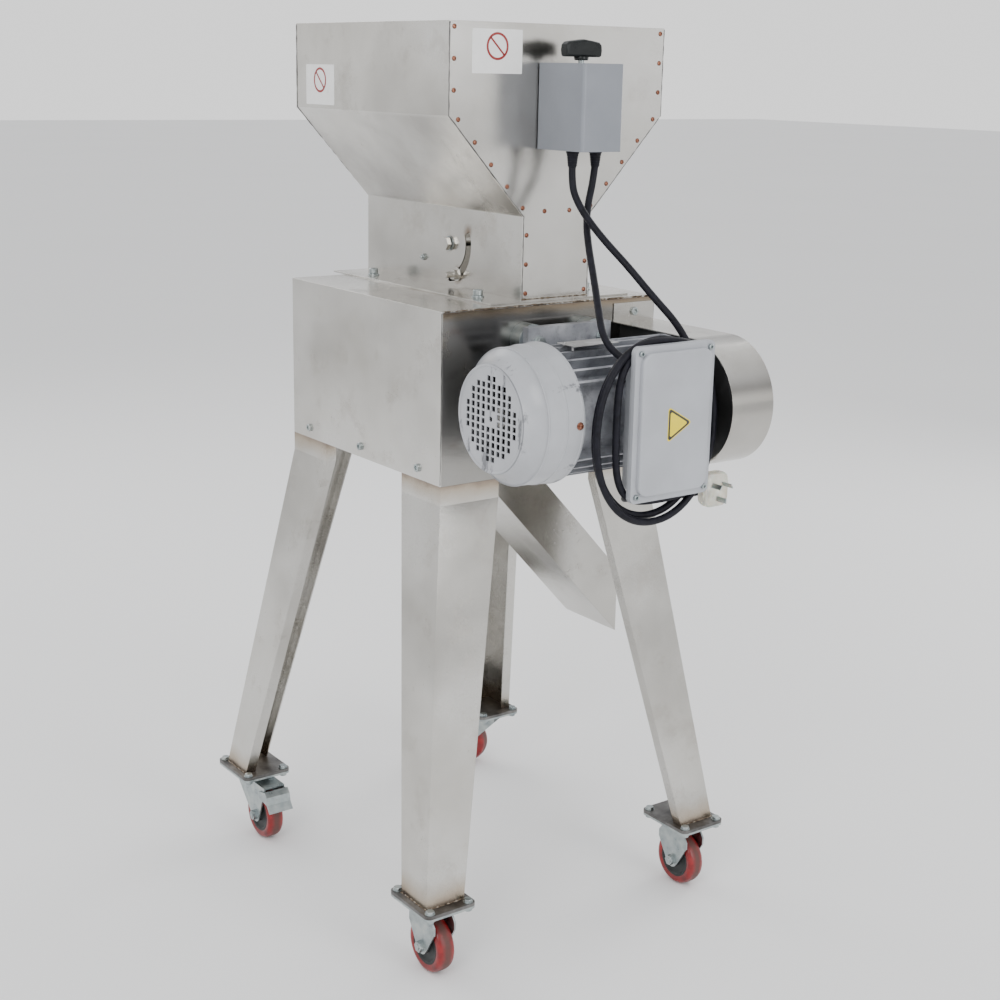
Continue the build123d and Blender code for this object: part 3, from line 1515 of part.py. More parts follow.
plug_x, plug_z = plug_centre
plug_back_y = -322.0
pin_width = 6.4
pin_thickness = 1.6
pin_length = 16.0
pin_spread = 9.0
pin_rise = 7.0
pin_lean = 30.0                # the two upper blades stand turned from upright
earth_pin_drop = 11.0
with BuildPart() as plug:
    with BuildSketch(facing_front(plug_back_y)):
        with Locations(plug_centre):
            RectangleRounded(plug_width, plug_height, 10)
    extrude(amount=plug_thickness)
    fillet(plug.edges().filter_by(Plane.XZ), radius=4)
    with BuildSketch(facing_front(plug_back_y - plug_thickness)):
        with Locations((plug_x, plug_z - earth_pin_drop)):
            Rectangle(pin_thickness, pin_width)
        for side in (-1, 1):
            place = (plug_x + side * pin_spread, plug_z + pin_rise, 0)
            with Locations(Location(place, (0, 0, side * pin_lean))):
                Rectangle(pin_thickness, pin_width)
    extrude(amount=pin_length)
save(plug, "plug")
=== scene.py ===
"""Looks of the grape crusher destemmer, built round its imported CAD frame. Metres, +Z up."""
import json
import math
import random

import bmesh
import bpy
from mathutils import Matrix, Vector


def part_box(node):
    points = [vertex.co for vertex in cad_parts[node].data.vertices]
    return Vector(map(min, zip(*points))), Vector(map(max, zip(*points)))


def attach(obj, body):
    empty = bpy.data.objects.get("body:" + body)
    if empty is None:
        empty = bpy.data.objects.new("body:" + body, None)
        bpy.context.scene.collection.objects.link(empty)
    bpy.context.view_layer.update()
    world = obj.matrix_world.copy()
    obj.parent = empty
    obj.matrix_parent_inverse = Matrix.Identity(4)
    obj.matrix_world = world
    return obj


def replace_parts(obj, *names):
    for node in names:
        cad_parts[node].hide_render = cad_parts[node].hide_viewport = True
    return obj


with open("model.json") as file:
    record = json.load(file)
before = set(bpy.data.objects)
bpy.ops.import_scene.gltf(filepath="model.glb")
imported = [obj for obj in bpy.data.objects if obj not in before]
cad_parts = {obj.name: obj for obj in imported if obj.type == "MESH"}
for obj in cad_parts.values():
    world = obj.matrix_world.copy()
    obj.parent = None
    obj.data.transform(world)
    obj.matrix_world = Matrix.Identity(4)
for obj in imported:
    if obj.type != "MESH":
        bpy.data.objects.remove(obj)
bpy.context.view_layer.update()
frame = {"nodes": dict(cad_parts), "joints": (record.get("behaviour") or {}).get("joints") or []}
random.seed(7)

# ---------------------------------------------------------------- places read from the frame
shell_low, shell_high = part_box("housing_shell")
front_low, front_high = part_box("hopper_front_plate")
lid_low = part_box("terminal_lid")[0]
cover_low, cover_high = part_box("fan_cover")
switch_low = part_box("switch_box")[0]
hinges = {joint["child"]: joint for joint in frame["joints"]}
motor_point = Vector(hinges["motor_rotor"]["pos_m"])
X_AXIS, Y_AXIS, Z_AXIS = Vector((1, 0, 0)), Vector((0, 1, 0)), Vector((0, 0, 1))
RIM_HEIGHT, SLOPE_HEIGHT = 0.111, 0.124
COVER_TAPER, COVER_SHOULDER, SCREW_PLACE = 0.003, -0.1495, -0.1063


# ---------------------------------------------------------------- camera and light
def make_camera():
    data = bpy.data.cameras.new("camera")
    data.lens, data.sensor_width = 58.43, 36.0
    camera = bpy.data.objects.new("camera", data)
    bpy.context.collection.objects.link(camera)
    heading, dip, roll = math.radians(-36.05), math.radians(14.85), math.radians(1.148)
    camera.matrix_world = (
        Matrix.Translation((-1.26426, -1.77308, 1.1331))
        @ Matrix.Rotation(heading, 4, "Z")
        @ Matrix.Rotation(math.pi / 2 - dip, 4, "X")
        @ Matrix.Rotation(roll, 4, "Z")
    )
    bpy.context.scene.camera = camera


def area_light(name, place, target, size, power, colour=(1, 1, 1)):
    data = bpy.data.lights.new(name, "AREA")
    data.shape, data.size, data.size_y = "RECTANGLE", size[0], size[1]
    data.energy, data.color = power, colour
    lamp = bpy.data.objects.new(name, data)
    lamp.location = place
    lamp.rotation_euler = (Vector(target) - Vector(place)).to_track_quat("-Z", "Y").to_euler()
    bpy.context.collection.objects.link(lamp)


def make_studio():
    world = bpy.data.worlds.new("studio")
    bpy.context.scene.world = world
    world.use_nodes = True
    tree = world.node_tree
    background = tree.nodes["Background"]
    coords = tree.nodes.new("ShaderNodeTexCoord")
    split = tree.nodes.new("ShaderNodeSeparateXYZ")
    tree.links.new(coords.outputs["Generated"], split.inputs[0])
    sky = ramp(tree, split.outputs["Z"], [(0.0, (0.98, 0.98, 0.98)), (0.12, (0.98, 0.98, 0.98)),
                                          (0.30, (0.40, 0.40, 0.41)), (0.55, (0.75, 0.76, 0.78)),
                                          (1.0, (1.0, 1.0, 1.0))])
    tree.links.new(sky, background.inputs["Color"])
    background.inputs["Strength"].default_value = 1.35
    area_light("key", (-2.6, -1.8, 2.6), (0, 0, 0.7), (1.6, 1.6), 45)
    area_light("front", (0.6, -3.2, 1.6), (0, 0, 0.7), (1.2, 2.0), 34)
    area_light("side", (2.8, 0.4, 1.8), (0, 0, 0.7), (1.4, 1.8), 24)
    area_light("back", (-0.6, 3.0, 2.4), (0, 0, 0.8), (2.0, 1.4), 30)
    floor = Shape().add_plate([(-30, -30, 0), (30, -30, 0), (30, 30, 0), (-30, 30, 0)])
    floor.piece("floor", None, None, floor_paint())


# ---------------------------------------------------------------- material helpers
def start(name, colour, metallic=0.0, roughness=0.5, **constants):
    mat = bpy.data.materials.new(name)
    mat.use_nodes = True
    shader = mat.node_tree.nodes["Principled BSDF"]
    shader.inputs["Base Color"].default_value = (*colour, 1)
    shader.inputs["Metallic"].default_value = metallic
    shader.inputs["Roughness"].default_value = roughness
    for socket, value in constants.items():
        shader.inputs[socket.replace("_", " ")].default_value = value
    return mat, mat.node_tree, shader


def noise(tree, scale, detail=4.0, stretch=(1, 1, 1), roughness=0.55):
    coords = tree.nodes.new("ShaderNodeTexCoord")
    mapping = tree.nodes.new("ShaderNodeMapping")
    mapping.inputs["Scale"].default_value = stretch
    texture = tree.nodes.new("ShaderNodeTexNoise")
    texture.inputs["Scale"].default_value = scale
    texture.inputs["Detail"].default_value = detail
    texture.inputs["Roughness"].default_value = roughness
    tree.links.new(coords.outputs["Object"], mapping.inputs["Vector"])
    tree.links.new(mapping.outputs[0], texture.inputs["Vector"])
    return texture.outputs[0]


def ramp(tree, factor, stops):
    node = tree.nodes.new("ShaderNodeValToRGB")
    while len(node.color_ramp.elements) < len(stops):
        node.color_ramp.elements.new(0.5)
    for element, (place, colour) in zip(node.color_ramp.elements, stops):
        element.position = place
        element.color = (*colour, 1)
    tree.links.new(factor, node.inputs[0])
    return node.outputs["Color"]


def spread(tree, factor, low, high, start_at=0.3, end_at=0.7):
    node = tree.nodes.new("ShaderNodeMapRange")
    for socket, value in zip(("From Min", "From Max", "To Min", "To Max"), (start_at, end_at, low, high)):
        node.inputs[socket].default_value = value
    tree.links.new(factor, node.inputs["Value"])
    return node.outputs[0]


def mix(tree, factor, a, b, kind="MIX"):
    node = tree.nodes.new("ShaderNodeMix")
    node.data_type, node.blend_type = "RGBA", kind
    for socket, value in ((node.inputs[0], factor), (node.inputs[6], a), (node.inputs[7], b)):
        if isinstance(value, tuple):
            socket.default_value = (*value, 1)
        elif isinstance(value, float):
            socket.default_value = value
        else:
            tree.links.new(value, socket)
    return node.outputs[2]


def maths(tree, kind, a, b=None):
    node = tree.nodes.new("ShaderNodeMath")
    node.operation = kind
    for socket, value in zip(node.inputs, (a, b)):
        if isinstance(value, (int, float)):
            socket.default_value = value
        elif value is not None:
            tree.links.new(value, socket)
    return node.outputs[0]


def place(tree, axis):
    coords = tree.nodes.new("ShaderNodeTexCoord")
    split = tree.nodes.new("ShaderNodeSeparateXYZ")
    tree.links.new(coords.outputs["Object"], split.inputs[0])
    return split.outputs[axis]


def bump(tree, shader, height, strength, distance=0.0005, edge=0.0):
    node = tree.nodes.new("ShaderNodeBump")
    node.inputs["Strength"].default_value = strength
    node.inputs["Distance"].default_value = distance
    tree.links.new(height, node.inputs["Height"])
    if edge:
        rounding = tree.nodes.new("ShaderNodeBevel")
        rounding.inputs["Radius"].default_value = edge
        tree.links.new(rounding.outputs[0], node.inputs["Normal"])
    tree.links.new(node.outputs[0], shader.inputs["Normal"])


def distance_from(tree, spot):
    coords = tree.nodes.new("ShaderNodeTexCoord")
    node = tree.nodes.new("ShaderNodeVectorMath")
    node.operation = "DISTANCE"
    node.inputs[1].default_value = spot
    tree.links.new(coords.outputs["Object"], node.inputs[0])
    return node.outputs["Value"]


# ---------------------------------------------------------------- materials
def floor_paint():
    mat, tree, shader = start("floor_paint", (0.86, 0.86, 0.86), roughness=0.9)
    tone = ramp(tree, noise(tree, 0.6, 2.0), [(0.0, (0.85, 0.85, 0.85)), (1.0, (0.88, 0.88, 0.88))])
    tree.links.new(tone, shader.inputs["Base Color"])
    return mat


def stainless(name, tint=1.0, grain=(1, 1, 1), heat=(), grime=0.35, rough=0.24, spots=(), shade=()):
    """Satin sheet with cloudy handling marks, fine rolling grain and, near welds, heat colours.
    heat holds (height, reach) pairs: straw and brown fade away from each height.
    spots holds (place, reach) pairs: a burnt patch round each place.
    shade holds (low, high, least, most) heights: painted shade darkens the sheet between them, most so at the
    foot."""
    mat, tree, shader = start(name, (0.62, 0.6, 0.56), 1.0, 0.34, Anisotropic=0.25)
    clouds = noise(tree, 5.0, 5.0)
    colour = ramp(tree, clouds, [(0.25, (0.50 * tint, 0.48 * tint, 0.44 * tint)),
                                 (0.55, (0.66 * tint, 0.645 * tint, 0.61 * tint)),
                                 (0.8, (0.73 * tint, 0.72 * tint, 0.70 * tint))])
    stains = spread(tree, noise(tree, 17.0, 8.0, roughness=0.7), 0.0, grime, 0.54, 0.74)
    colour = mix(tree, stains, colour, (0.25, 0.21, 0.16))
    patches = spread(tree, noise(tree, 3.2, 3.0, (1, 1, 1.4)), 0.0, 0.55, 0.5, 0.68)
    colour = mix(tree, patches, colour, (0.36 * tint, 0.345 * tint, 0.32 * tint))
    for height, reach in heat:
        away = maths(tree, "ABSOLUTE", maths(tree, "SUBTRACT", place(tree, 2), height))
        wavy = maths(tree, "ADD", away, maths(tree, "MULTIPLY", noise(tree, 30.0, 3.0), reach * 0.7))
        straw = spread(tree, wavy, 0.75, 0.0, reach * 0.35, reach * 1.35)
        colour = mix(tree, straw, colour, (0.33, 0.235, 0.13))
        burnt = spread(tree, wavy, 0.7, 0.0, reach * 0.2, reach * 0.62)
        colour = mix(tree, burnt, colour, (0.16, 0.13, 0.13))
    # Painted shade: the band between low and high is darkened, most at its foot, with blotchy noise over it.
    for low, high, least, most in shade:
        height = place(tree, 2)
        inside = maths(tree, "MULTIPLY", spread(tree, height, 0.0, 1.0, low - 0.001, low + 0.002),
                       spread(tree, height, 1.0, 0.0, high - 0.004, high + 0.001))
        depth = maths(tree, "ADD", spread(tree, height, most, least, low, high),
                      spread(tree, noise(tree, 7.0, 5.0), -0.16, 0.3, 0.35, 0.68))
        colour = mix(tree, maths(tree, "MULTIPLY", inside, depth), colour, (0.17, 0.16, 0.145))
    for spot, reach in spots:
        near = maths(tree, "ADD", distance_from(tree, spot),
                     maths(tree, "MULTIPLY", noise(tree, 60.0, 5.0), reach))
        burnt = spread(tree, near, 0.85, 0.0, reach * 0.75, reach * 1.5)
        colour = mix(tree, burnt, colour, (0.19, 0.13, 0.085))
    tree.links.new(colour, shader.inputs["Base Color"])
    lines = noise(tree, 260.0, 3.0, grain)
    gloss = maths(tree, "ADD", spread(tree, clouds, rough - 0.06, rough + 0.08),
                  spread(tree, lines, -0.03, 0.04))
    tree.links.new(maths(tree, "ADD", gloss, maths(tree, "MULTIPLY", stains, 0.3)),
                   shader.inputs["Roughness"])
    bump(tree, shader, maths(tree, "ADD", lines, maths(tree, "MULTIPLY", noise(tree, 6.0, 2.0), 9.0)), 0.12,
         0.0004, 0.0006)
    return mat


def zinc():
    mat, tree, shader = start("zinc_plated_steel", (0.6, 0.62, 0.62), 1.0, 0.34)
    clouds = noise(tree, 60.0, 5.0)
    colour = ramp(tree, clouds, [(0.3, (0.27, 0.31, 0.32)), (0.55, (0.42, 0.46, 0.46)),
                                 (0.75, (0.55, 0.57, 0.54))])
    rust = spread(tree, noise(tree, 110.0, 7.0, roughness=0.75), 0.0, 0.5, 0.62, 0.75)
    tree.links.new(mix(tree, rust, colour, (0.22, 0.15, 0.09)), shader.inputs["Base Color"])
    tree.links.new(spread(tree, clouds, 0.24, 0.46), shader.inputs["Roughness"])
    bump(tree, shader, noise(tree, 700.0, 2.0), 0.1, 0.0003, 0.0005)
    return mat


def dark_steel():
    mat, tree, shader = start("hot_rolled_plate", (0.3, 0.29, 0.28), 1.0, 0.42)
    clouds = noise(tree, 45.0, 6.0)
    colour = ramp(tree, clouds, [(0.3, (0.07, 0.066, 0.064)), (0.55, (0.17, 0.165, 0.16)),
                                 (0.8, (0.32, 0.31, 0.30))])
    tree.links.new(colour, shader.inputs["Base Color"])
    tree.links.new(spread(tree, clouds, 0.3, 0.52), shader.inputs["Roughness"])
    bump(tree, shader, noise(tree, 400.0, 3.0), 0.25, 0.0004, 0.0008)
    return mat


def copper():
    mat, tree, shader = start("copper_rivet_metal", (0.55, 0.28, 0.18), 1.0, 0.36)
    clouds = noise(tree, 500.0, 3.0)
    colour = ramp(tree, clouds, [(0.3, (0.10, 0.045, 0.03)), (0.6, (0.34, 0.15, 0.10)),
                                 (0.8, (0.50, 0.27, 0.19))])
    tree.links.new(colour, shader.inputs["Base Color"])
    bump(tree, shader, clouds, 0.15, 0.0002)
    return mat


def weld_metal():
    mat, tree, shader = start("weld_bead_metal", (0.3, 0.26, 0.22), 1.0, 0.45)
    clouds = noise(tree, 160.0, 6.0, roughness=0.7)
    colour = ramp(tree, clouds, [(0.35, (0.03, 0.02, 0.016)), (0.52, (0.18, 0.14, 0.10)),
                                 (0.7, (0.55, 0.51, 0.45))])
    tree.links.new(colour, shader.inputs["Base Color"])
    bump(tree, shader, clouds, 0.6, 0.0008)
    return mat


def paint(name, dark, light, roughness, grain=900.0, strength=0.2, scuffs=0.0, edge=0.0008):
    mat, tree, shader = start(name, light, 0.0, roughness, Coat_Weight=0.15, Coat_Roughness=0.3)
    clouds = noise(tree, 14.0, 4.0)
    colour = ramp(tree, clouds, [(0.3, dark), (0.7, light)])
    if scuffs:
        streaks = noise(tree, 26.0, 8.0, (0.6, 1.5, 0.5), 0.72)
        marks = spread(tree, streaks, 0.0, scuffs, 0.59, 0.65)
        colour = mix(tree, marks, colour, (0.07, 0.073, 0.085))
        smears = spread(tree, noise(tree, 7.0, 3.0, (1, 2, 1)), 0.0, 0.3, 0.55, 0.8)
        colour = mix(tree, smears, colour, (0.42, 0.43, 0.44))
    tree.links.new(colour, shader.inputs["Base Color"])
    tree.links.new(spread(tree, clouds, roughness - 0.06, roughness + 0.08), shader.inputs["Roughness"])
    bump(tree, shader, noise(tree, grain, 2.0), strength, 0.0004, edge)
    return mat


def cast_aluminium(name, dark, light, grime=0.6):
    mat, tree, shader = start(name, light, 0.75, 0.48)
    clouds = noise(tree, 30.0, 6.0)
    colour = ramp(tree, clouds, [(0.3, dark), (0.7, light)])
    dirt = spread(tree, noise(tree, 75.0, 8.0, roughness=0.75), 0.0, grime, 0.5, 0.72)
    tree.links.new(mix(tree, dirt, colour, (0.05, 0.05, 0.055)), shader.inputs["Base Color"])
    tree.links.new(spread(tree, clouds, 0.38, 0.58), shader.inputs["Roughness"])
    bump(tree, shader, noise(tree, 650.0, 3.0), 0.3, 0.0005, 0.0008)
    return mat


def plastic(name, colour, lift, roughness, grain=1200.0, strength=0.12, **constants):
    mat, tree, shader = start(name, colour, 0.0, roughness, **constants)
    clouds = noise(tree, 55.0, 5.0)
    lighter = tuple(min(1.0, channel + lift) for channel in colour)
    tree.links.new(ramp(tree, clouds, [(0.35, colour), (0.75, lighter)]), shader.inputs["Base Color"])
    tree.links.new(spread(tree, clouds, roughness - 0.08, roughness + 0.1), shader.inputs["Roughness"])
    bump(tree, shader, noise(tree, grain, 2.0), strength, 0.0003)
    return mat


def tread():
    """Red polyurethane with a worn brown band round the middle of the tread. Local z runs across the tyre."""
    mat, tree, shader = start("red_polyurethane", (0.25, 0.006, 0.007), 0.0, 0.33, Coat_Weight=0.15,
                              Coat_Roughness=0.25)
    clouds = noise(tree, 70.0, 6.0)
    colour = ramp(tree, clouds, [(0.3, (0.12, 0.003, 0.004)), (0.6, (0.26, 0.006, 0.007)),
                                 (0.8, (0.32, 0.016, 0.014))])
    across = maths(tree, "ABSOLUTE", place(tree, 2))
    ragged = maths(tree, "ADD", across, maths(tree, "MULTIPLY", noise(tree, 90.0, 6.0), 0.008))
    worn = spread(tree, ragged, 0.85, 0.0, 0.0065, 0.0125)
    colour = mix(tree, worn, colour, (0.085, 0.042, 0.034))
    tree.links.new(colour, shader.inputs["Base Color"])
    tree.links.new(spread(tree, worn, 0.3, 0.7, 0.0, 0.8), shader.inputs["Roughness"])
    bump(tree, shader, noise(tree, 500.0, 4.0), 0.25, 0.0004)
    return mat


def rubber(name="black_rubber"):
    mat, tree, shader = start(name, (0.01, 0.01, 0.013), 0.0, 0.45, Specular_IOR_Level=0.16)
    clouds = noise(tree, 120.0, 5.0)
    colour = ramp(tree, clouds, [(0.35, (0.005, 0.005, 0.008)), (0.75, (0.014, 0.014, 0.021))])
    tree.links.new(colour, shader.inputs["Base Color"])
    tree.links.new(spread(tree, clouds, 0.36, 0.6), shader.inputs["Roughness"])
    bump(tree, shader, noise(tree, 900.0, 2.0), 0.15, 0.0003)
    return mat


def clear_plastic():
    mat, tree, shader = start("cloudy_clear_plastic", (0.86, 0.83, 0.72), 0.0, 0.22, Transmission_Weight=0.45,
                              IOR=1.49, Subsurface_Weight=0.15)
    clouds = noise(tree, 90.0, 4.0)
    colour = ramp(tree, clouds, [(0.3, (0.78, 0.74, 0.60)), (0.7, (0.92, 0.91, 0.84))])
    tree.links.new(colour, shader.inputs["Base Color"])
    bump(tree, shader, noise(tree, 300.0, 3.0), 0.1, 0.0004)
    return mat


# ---------------------------------------------------------------- mesh helpers
def bands(rows, count, closed=False):
    """Faces between rows rings of count points each. closed joins the last ring to the first."""
    return [(row * count + s, row * count + (s + 1) % count,
             (row + 1) % rows * count + (s + 1) % count, (row + 1) % rows * count + s)
            for row in range(rows if closed else rows - 1) for s in range(count)]


def capped(rows, count):
    """The bands of a solid with a flat face at each end."""
    return bands(rows, count) + [tuple(reversed(range(count))),
                                 tuple(range((rows - 1) * count, rows * count))]


class Shape:
    """Collects faces, then makes one piece of them."""

    def __init__(self):
        self.points, self.faces = [], []

    def add(self, points, faces, matrix=None):
        base = len(self.points)
        self.points += [tuple(matrix @ Vector(point)) if matrix else tuple(point) for point in points]
        self.faces += [tuple(base + index for index in face) for face in faces]
        return self

    def add_plate(self, points):
        return self.add(points, [tuple(range(len(points)))])

    def turned(self, rings, origin=(0, 0, 0), axis=Z_AXIS, count=24, spin=0.0):
        """A closed solid of rings (radius, height, sides): sides 0 is round, 6 a hexagon."""
        points = []
        for radius, height, sides in rings:
            for step in range(count):
                angle = 2 * math.pi * step / count + spin
                reach = radius
                if sides:
                    wedge = 2 * math.pi / sides
                    reach *= math.cos(wedge / 2) / math.cos((angle - spin) % wedge - wedge / 2)
                points.append((reach * math.cos(angle), reach * math.sin(angle), height))
        turn = Vector(axis).to_track_quat("Z", "Y").to_matrix().to_4x4()
        return self.add(points, capped(len(rings), count), Matrix.Translation(origin) @ turn)

    def tube(self, points, radius, count=10, wobble=0.0):
        """A round bead along points, its thickness varied by wobble."""
        line = [Vector(point) for point in points]
        skin = []
        for index, point in enumerate(line):
            ahead = line[min(index + 1, len(line) - 1)] - line[max(index - 1, 0)]
            side = ahead.cross(Z_AXIS if abs(ahead.normalized().z) < 0.9 else X_AXIS).normalized()
            lift = side.cross(ahead).normalized()
            thick = radius * (1 + wobble * random.uniform(-1, 1))
            for step in range(count):
                angle = 2 * math.pi * step / count
                skin.append(point + (side * math.cos(angle) + lift * math.sin(angle)) * thick)
        return self.add(skin, capped(len(line), count))

    def piece(self, name, body, slot, material, crease=35.0, matrix=None):
        mesh = bpy.data.meshes.new(name)
        mesh.from_pydata(self.points, [], self.faces)
        work = bmesh.new()
        work.from_mesh(mesh)
        bmesh.ops.recalc_face_normals(work, faces=work.faces)
        work.to_mesh(mesh)
        work.free()
        mesh.shade_smooth()
        mesh.set_sharp_from_angle(angle=math.radians(crease))
        mesh.materials.append(material)
        thing = bpy.data.objects.new(name, mesh)
        if matrix:
            thing.matrix_world = matrix
        bpy.context.collection.objects.link(thing)
        if body:
            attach(thing, body)
        return thing


def islands(node):
    """Lowest and highest corners of each separate solid of a CAD node."""
    work = bmesh.new()
    work.from_mesh(frame["nodes"][node].data)
    bmesh.ops.remove_doubles(work, verts=work.verts, dist=1e-6)
    seen, boxes = set(), []
    for vert in work.verts:
        if vert in seen:
            continue
        stack, group = [vert], []
        seen.add(vert)
        while stack:
            current = stack.pop()
            group.append(current.co.copy())
            for edge in current.link_edges:
                other = edge.other_vert(current)
                if other not in seen:
                    seen.add(other)
                    stack.append(other)
        low = Vector([min(point[axis] for point in group) for axis in range(3)])
        high = Vector([max(point[axis] for point in group) for axis in range(3)])
        boxes.append((low, high))
    work.free()
    return boxes


def socket_head(shape, seat, axis, radius, height, shank, depth):
    """Socket head screw: seat is under its head, the shank goes the other way."""
    rings = [(shank, -depth, 0), (shank, 0, 0), (radius, 0, 0), (radius, height * 0.85, 0),
             (radius * 0.88, height, 0),
             (radius * 0.56, height, 6), (radius * 0.5, height * 0.35, 6), (0.0001, height * 0.35, 0)]
    shape.turned(rings, seat, axis)


def hex_head(shape, seat, axis, radius, height, shank, depth, tip=0.0):
    rings = [(shank, -depth, 0), (shank, 0, 0), (radius, 0, 6), (radius, height * 0.8, 6),
             (radius * 0.86, height, 0)]
    if tip:
        rings += [(shank, height, 0), (shank, height + tip * 0.8, 0), (shank * 0.75, height + tip, 0)]
    shape.turned(rings, seat, axis, spin=random.uniform(0, 1))


def rounded_outline(half_width, half_height, corner, steps=5):
    points = []
    for quarter, (sx, sy) in enumerate(((1, 1), (-1, 1), (-1, -1), (1, -1))):
        for step in range(steps + 1):
            angle = (quarter + step / steps) * math.pi / 2
            points.append((sx * (half_width - corner) + corner * math.cos(angle),
                           sy * (half_height - corner) + corner * math.sin(angle)))
    return points


def mm(*values):
    return tuple(value / 1000 for value in values)


def smooth_cord(name, points, radius, material):
    """A NURBS curve on the route's own points, round in section."""
    data = bpy.data.curves.new(name, "CURVE")
    data.dimensions = "3D"
    data.bevel_depth, data.bevel_resolution, data.resolution_u = radius, 5, 10
    data.use_fill_caps = True
    spline = data.splines.new("NURBS")
    spline.points.add(len(points) - 1)
    for point, spot in zip(spline.points, points):
        point.co = (*spot, 1)
    spline.order_u = 3
    spline.use_endpoint_u = True
    data.materials.append(material)
    thing = bpy.data.objects.new(name, data)
    bpy.context.collection.objects.link(thing)
    return thing


# ---------------------------------------------------------------- cords
CORD_RADIUS = 0.0045
FEED_ROUTE = [mm(*point) for point in (
    (3, -169.5, 1020), (1, -172, 996), (4, -182, 975), (7, -201, 955), (14, -225, 932), (27, -255, 904),
    (39, -287, 872), (60, -322, 833))]
TAIL_ROUTE = [mm(*point) for point in (
    (35, -342, 633.5), (17, -324, 631), (11, -300, 625), (17, -276, 617), (35, -258, 611), (59, -252, 608),
    (83, -258, 608), (101, -276, 610), (107, -300, 616), (108, -323, 626))]
LEAD_ROUTE = [mm(*point) for point in (
    (39, -169.5, 1020), (35, -171, 998), (25, -176, 976), (14, -187, 950), (4, -206, 922), (-7, -230, 893),
    (-23, -261, 858), (-37, -288, 829), (-36, -307, 812), (-30, -325.5, 803))]


def coil_route():
    """Three loose turns over the terminal box, clockwise from the front. Each turn holds
    (centre x, centre z, half width, half height, squareness, y) in millimetres."""
    turns = [(1, 720, 88, 108, 2.1, -340), (1, 720, 93.5, 114.5, 2.1, -349.5),
             (11.5, 728, 74, 95, 3.6, -349.5), (11.5, 728, 74, 94, 3.4, -349)]
    start_angle, per_turn, hold = math.radians(34), 16, 0.72
    total = 3 * per_turn + 4
    route = []
    for step in range(total):
        turn, along = divmod(step / per_turn, 1.0)
        blend = max(0.0, (along - hold) / (1 - hold))
        now, after = turns[int(turn)], turns[min(int(turn) + 1, 3)]
        x, z, wide, high, square, y = (a + (b - a) * blend for a, b in zip(now, after))
        angle = start_angle - 2 * math.pi * step / per_turn
        c, s = math.cos(angle), math.sin(angle)
        power = 2 / square
        route.append(mm(x + wide * math.copysign(abs(c) ** power, c), y,
                        z + high * math.copysign(abs(s) ** power, s)))
    return route


def make_plug():
    low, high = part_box("plug")
    centre_x, centre_z = (low.x + high.x) / 2, (low.z + high.z) / 2
    half_x, half_z = (high.x - low.x) / 2, (high.z - low.z) / 2
    back, face = high.y, low.y + 0.016
    body = Shape()
    stations = [(0.0, 0.36), (0.001, 0.46), (0.003, 0.5), (0.006, 0.62), (0.009, 0.9), (0.011, 0.97),
                (0.0135, 1.0), (0.0145, 0.96), (0.016, 1.0), (0.0175, 0.96), (0.019, 1.0), (0.022, 1.0),
                (0.0245, 0.97), (0.026, 0.9)]
    rings = []
    for depth, size in stations:
        outline = rounded_outline(half_x * size, half_z * size, min(half_x, half_z) * 0.55 * size)
        rings.append([(centre_x + x, back - depth, centre_z + z) for x, z in outline])
    body.add([point for ring in rings for point in ring], capped(len(rings), len(rings[0])))
    shell = body.piece("plug_body", "frame", "plug_plastic", clear_plastic(), 50)
    pins = Shape()
    for x, z, lean in ((0, -0.011, 0), (-0.009, 0.007, -30), (0.009, 0.007, 30)):
        outline = rounded_outline(0.0008, 0.0032, 0.0006, 3)
        turn = math.radians(lean)
        ring = [(centre_x + x + a * math.cos(turn) - b * math.sin(turn),
                 centre_z + z + a * math.sin(turn) + b * math.cos(turn)) for a, b in outline]
        points = [(px, y, pz) for y in (face + 0.002, low.y + 0.0006, low.y) for px, pz in ring]
        pins.add(points, capped(3, len(ring)))
    blades = pins.piece("plug_blades", "frame", "plug_plastic", zinc_metal)
    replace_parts(shell, "plug")
    return shell, blades


def make_glands():
    shape = Shape()
    for low, high in islands("cable_glands"):
        middle = (low + high) / 2
        if high.z > 1.0:
            rings = [(0.0055, 0.002, 0), (0.008, 0.001, 0), (0.0082, 0, 0), (0.0082, -0.003, 0),
                     (0.0073, -0.0035, 0)]
            for rib in range(5):
                top, size = -0.0045 - rib * 0.003, 0.0073 - rib * 0.00035
                rings += [(size, top, 0), (size, top - 0.0016, 0), (size - 0.0008, top - 0.002, 0),
                          (size - 0.0008, top - 0.0028, 0)]
            rings.append((0.0048, -0.02, 0))
            shape.turned(rings, (middle.x, middle.y, switch_low.z))
        else:
            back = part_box("terminal_box")[1].y
            rings = [(0.0055, -0.003, 0), (0.0055, 0, 0), (0.0082, 0, 6), (0.0082, 0.004, 6),
                     (0.0072, 0.0045, 0), (0.0068, 0.009, 0), (0.0052, 0.012, 0)]
            shape.turned(rings, (middle.x, back, middle.z), Y_AXIS)
    glands = shape.piece("strain_reliefs", "frame", "cord_rubber", rubber("gland_rubber"))
    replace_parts(glands, "cable_glands")


def make_cords():
    power = smooth_cord("power_cord_line", FEED_ROUTE + coil_route() + TAIL_ROUTE, CORD_RADIUS, rubber())
    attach(power, "frame")
    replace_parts(power, "power_cord", "cord_coil")
    shell, blades = make_plug()
    lead = smooth_cord("switch_lead_line", LEAD_ROUTE, CORD_RADIUS, rubber("lead_rubber"))
    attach(lead, "frame")
    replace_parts(lead, "switch_lead")
    make_glands()


# ---------------------------------------------------------------- fasteners
FLANGE_BOLT_LENGTH, LID_SCREW_PLACE, GATE_STOP_HEIGHT, SIDE_SCREW_PLACE = 0.015, -0.36, 0.86, 0.16
PANEL_SCREW_SEAT = -0.144


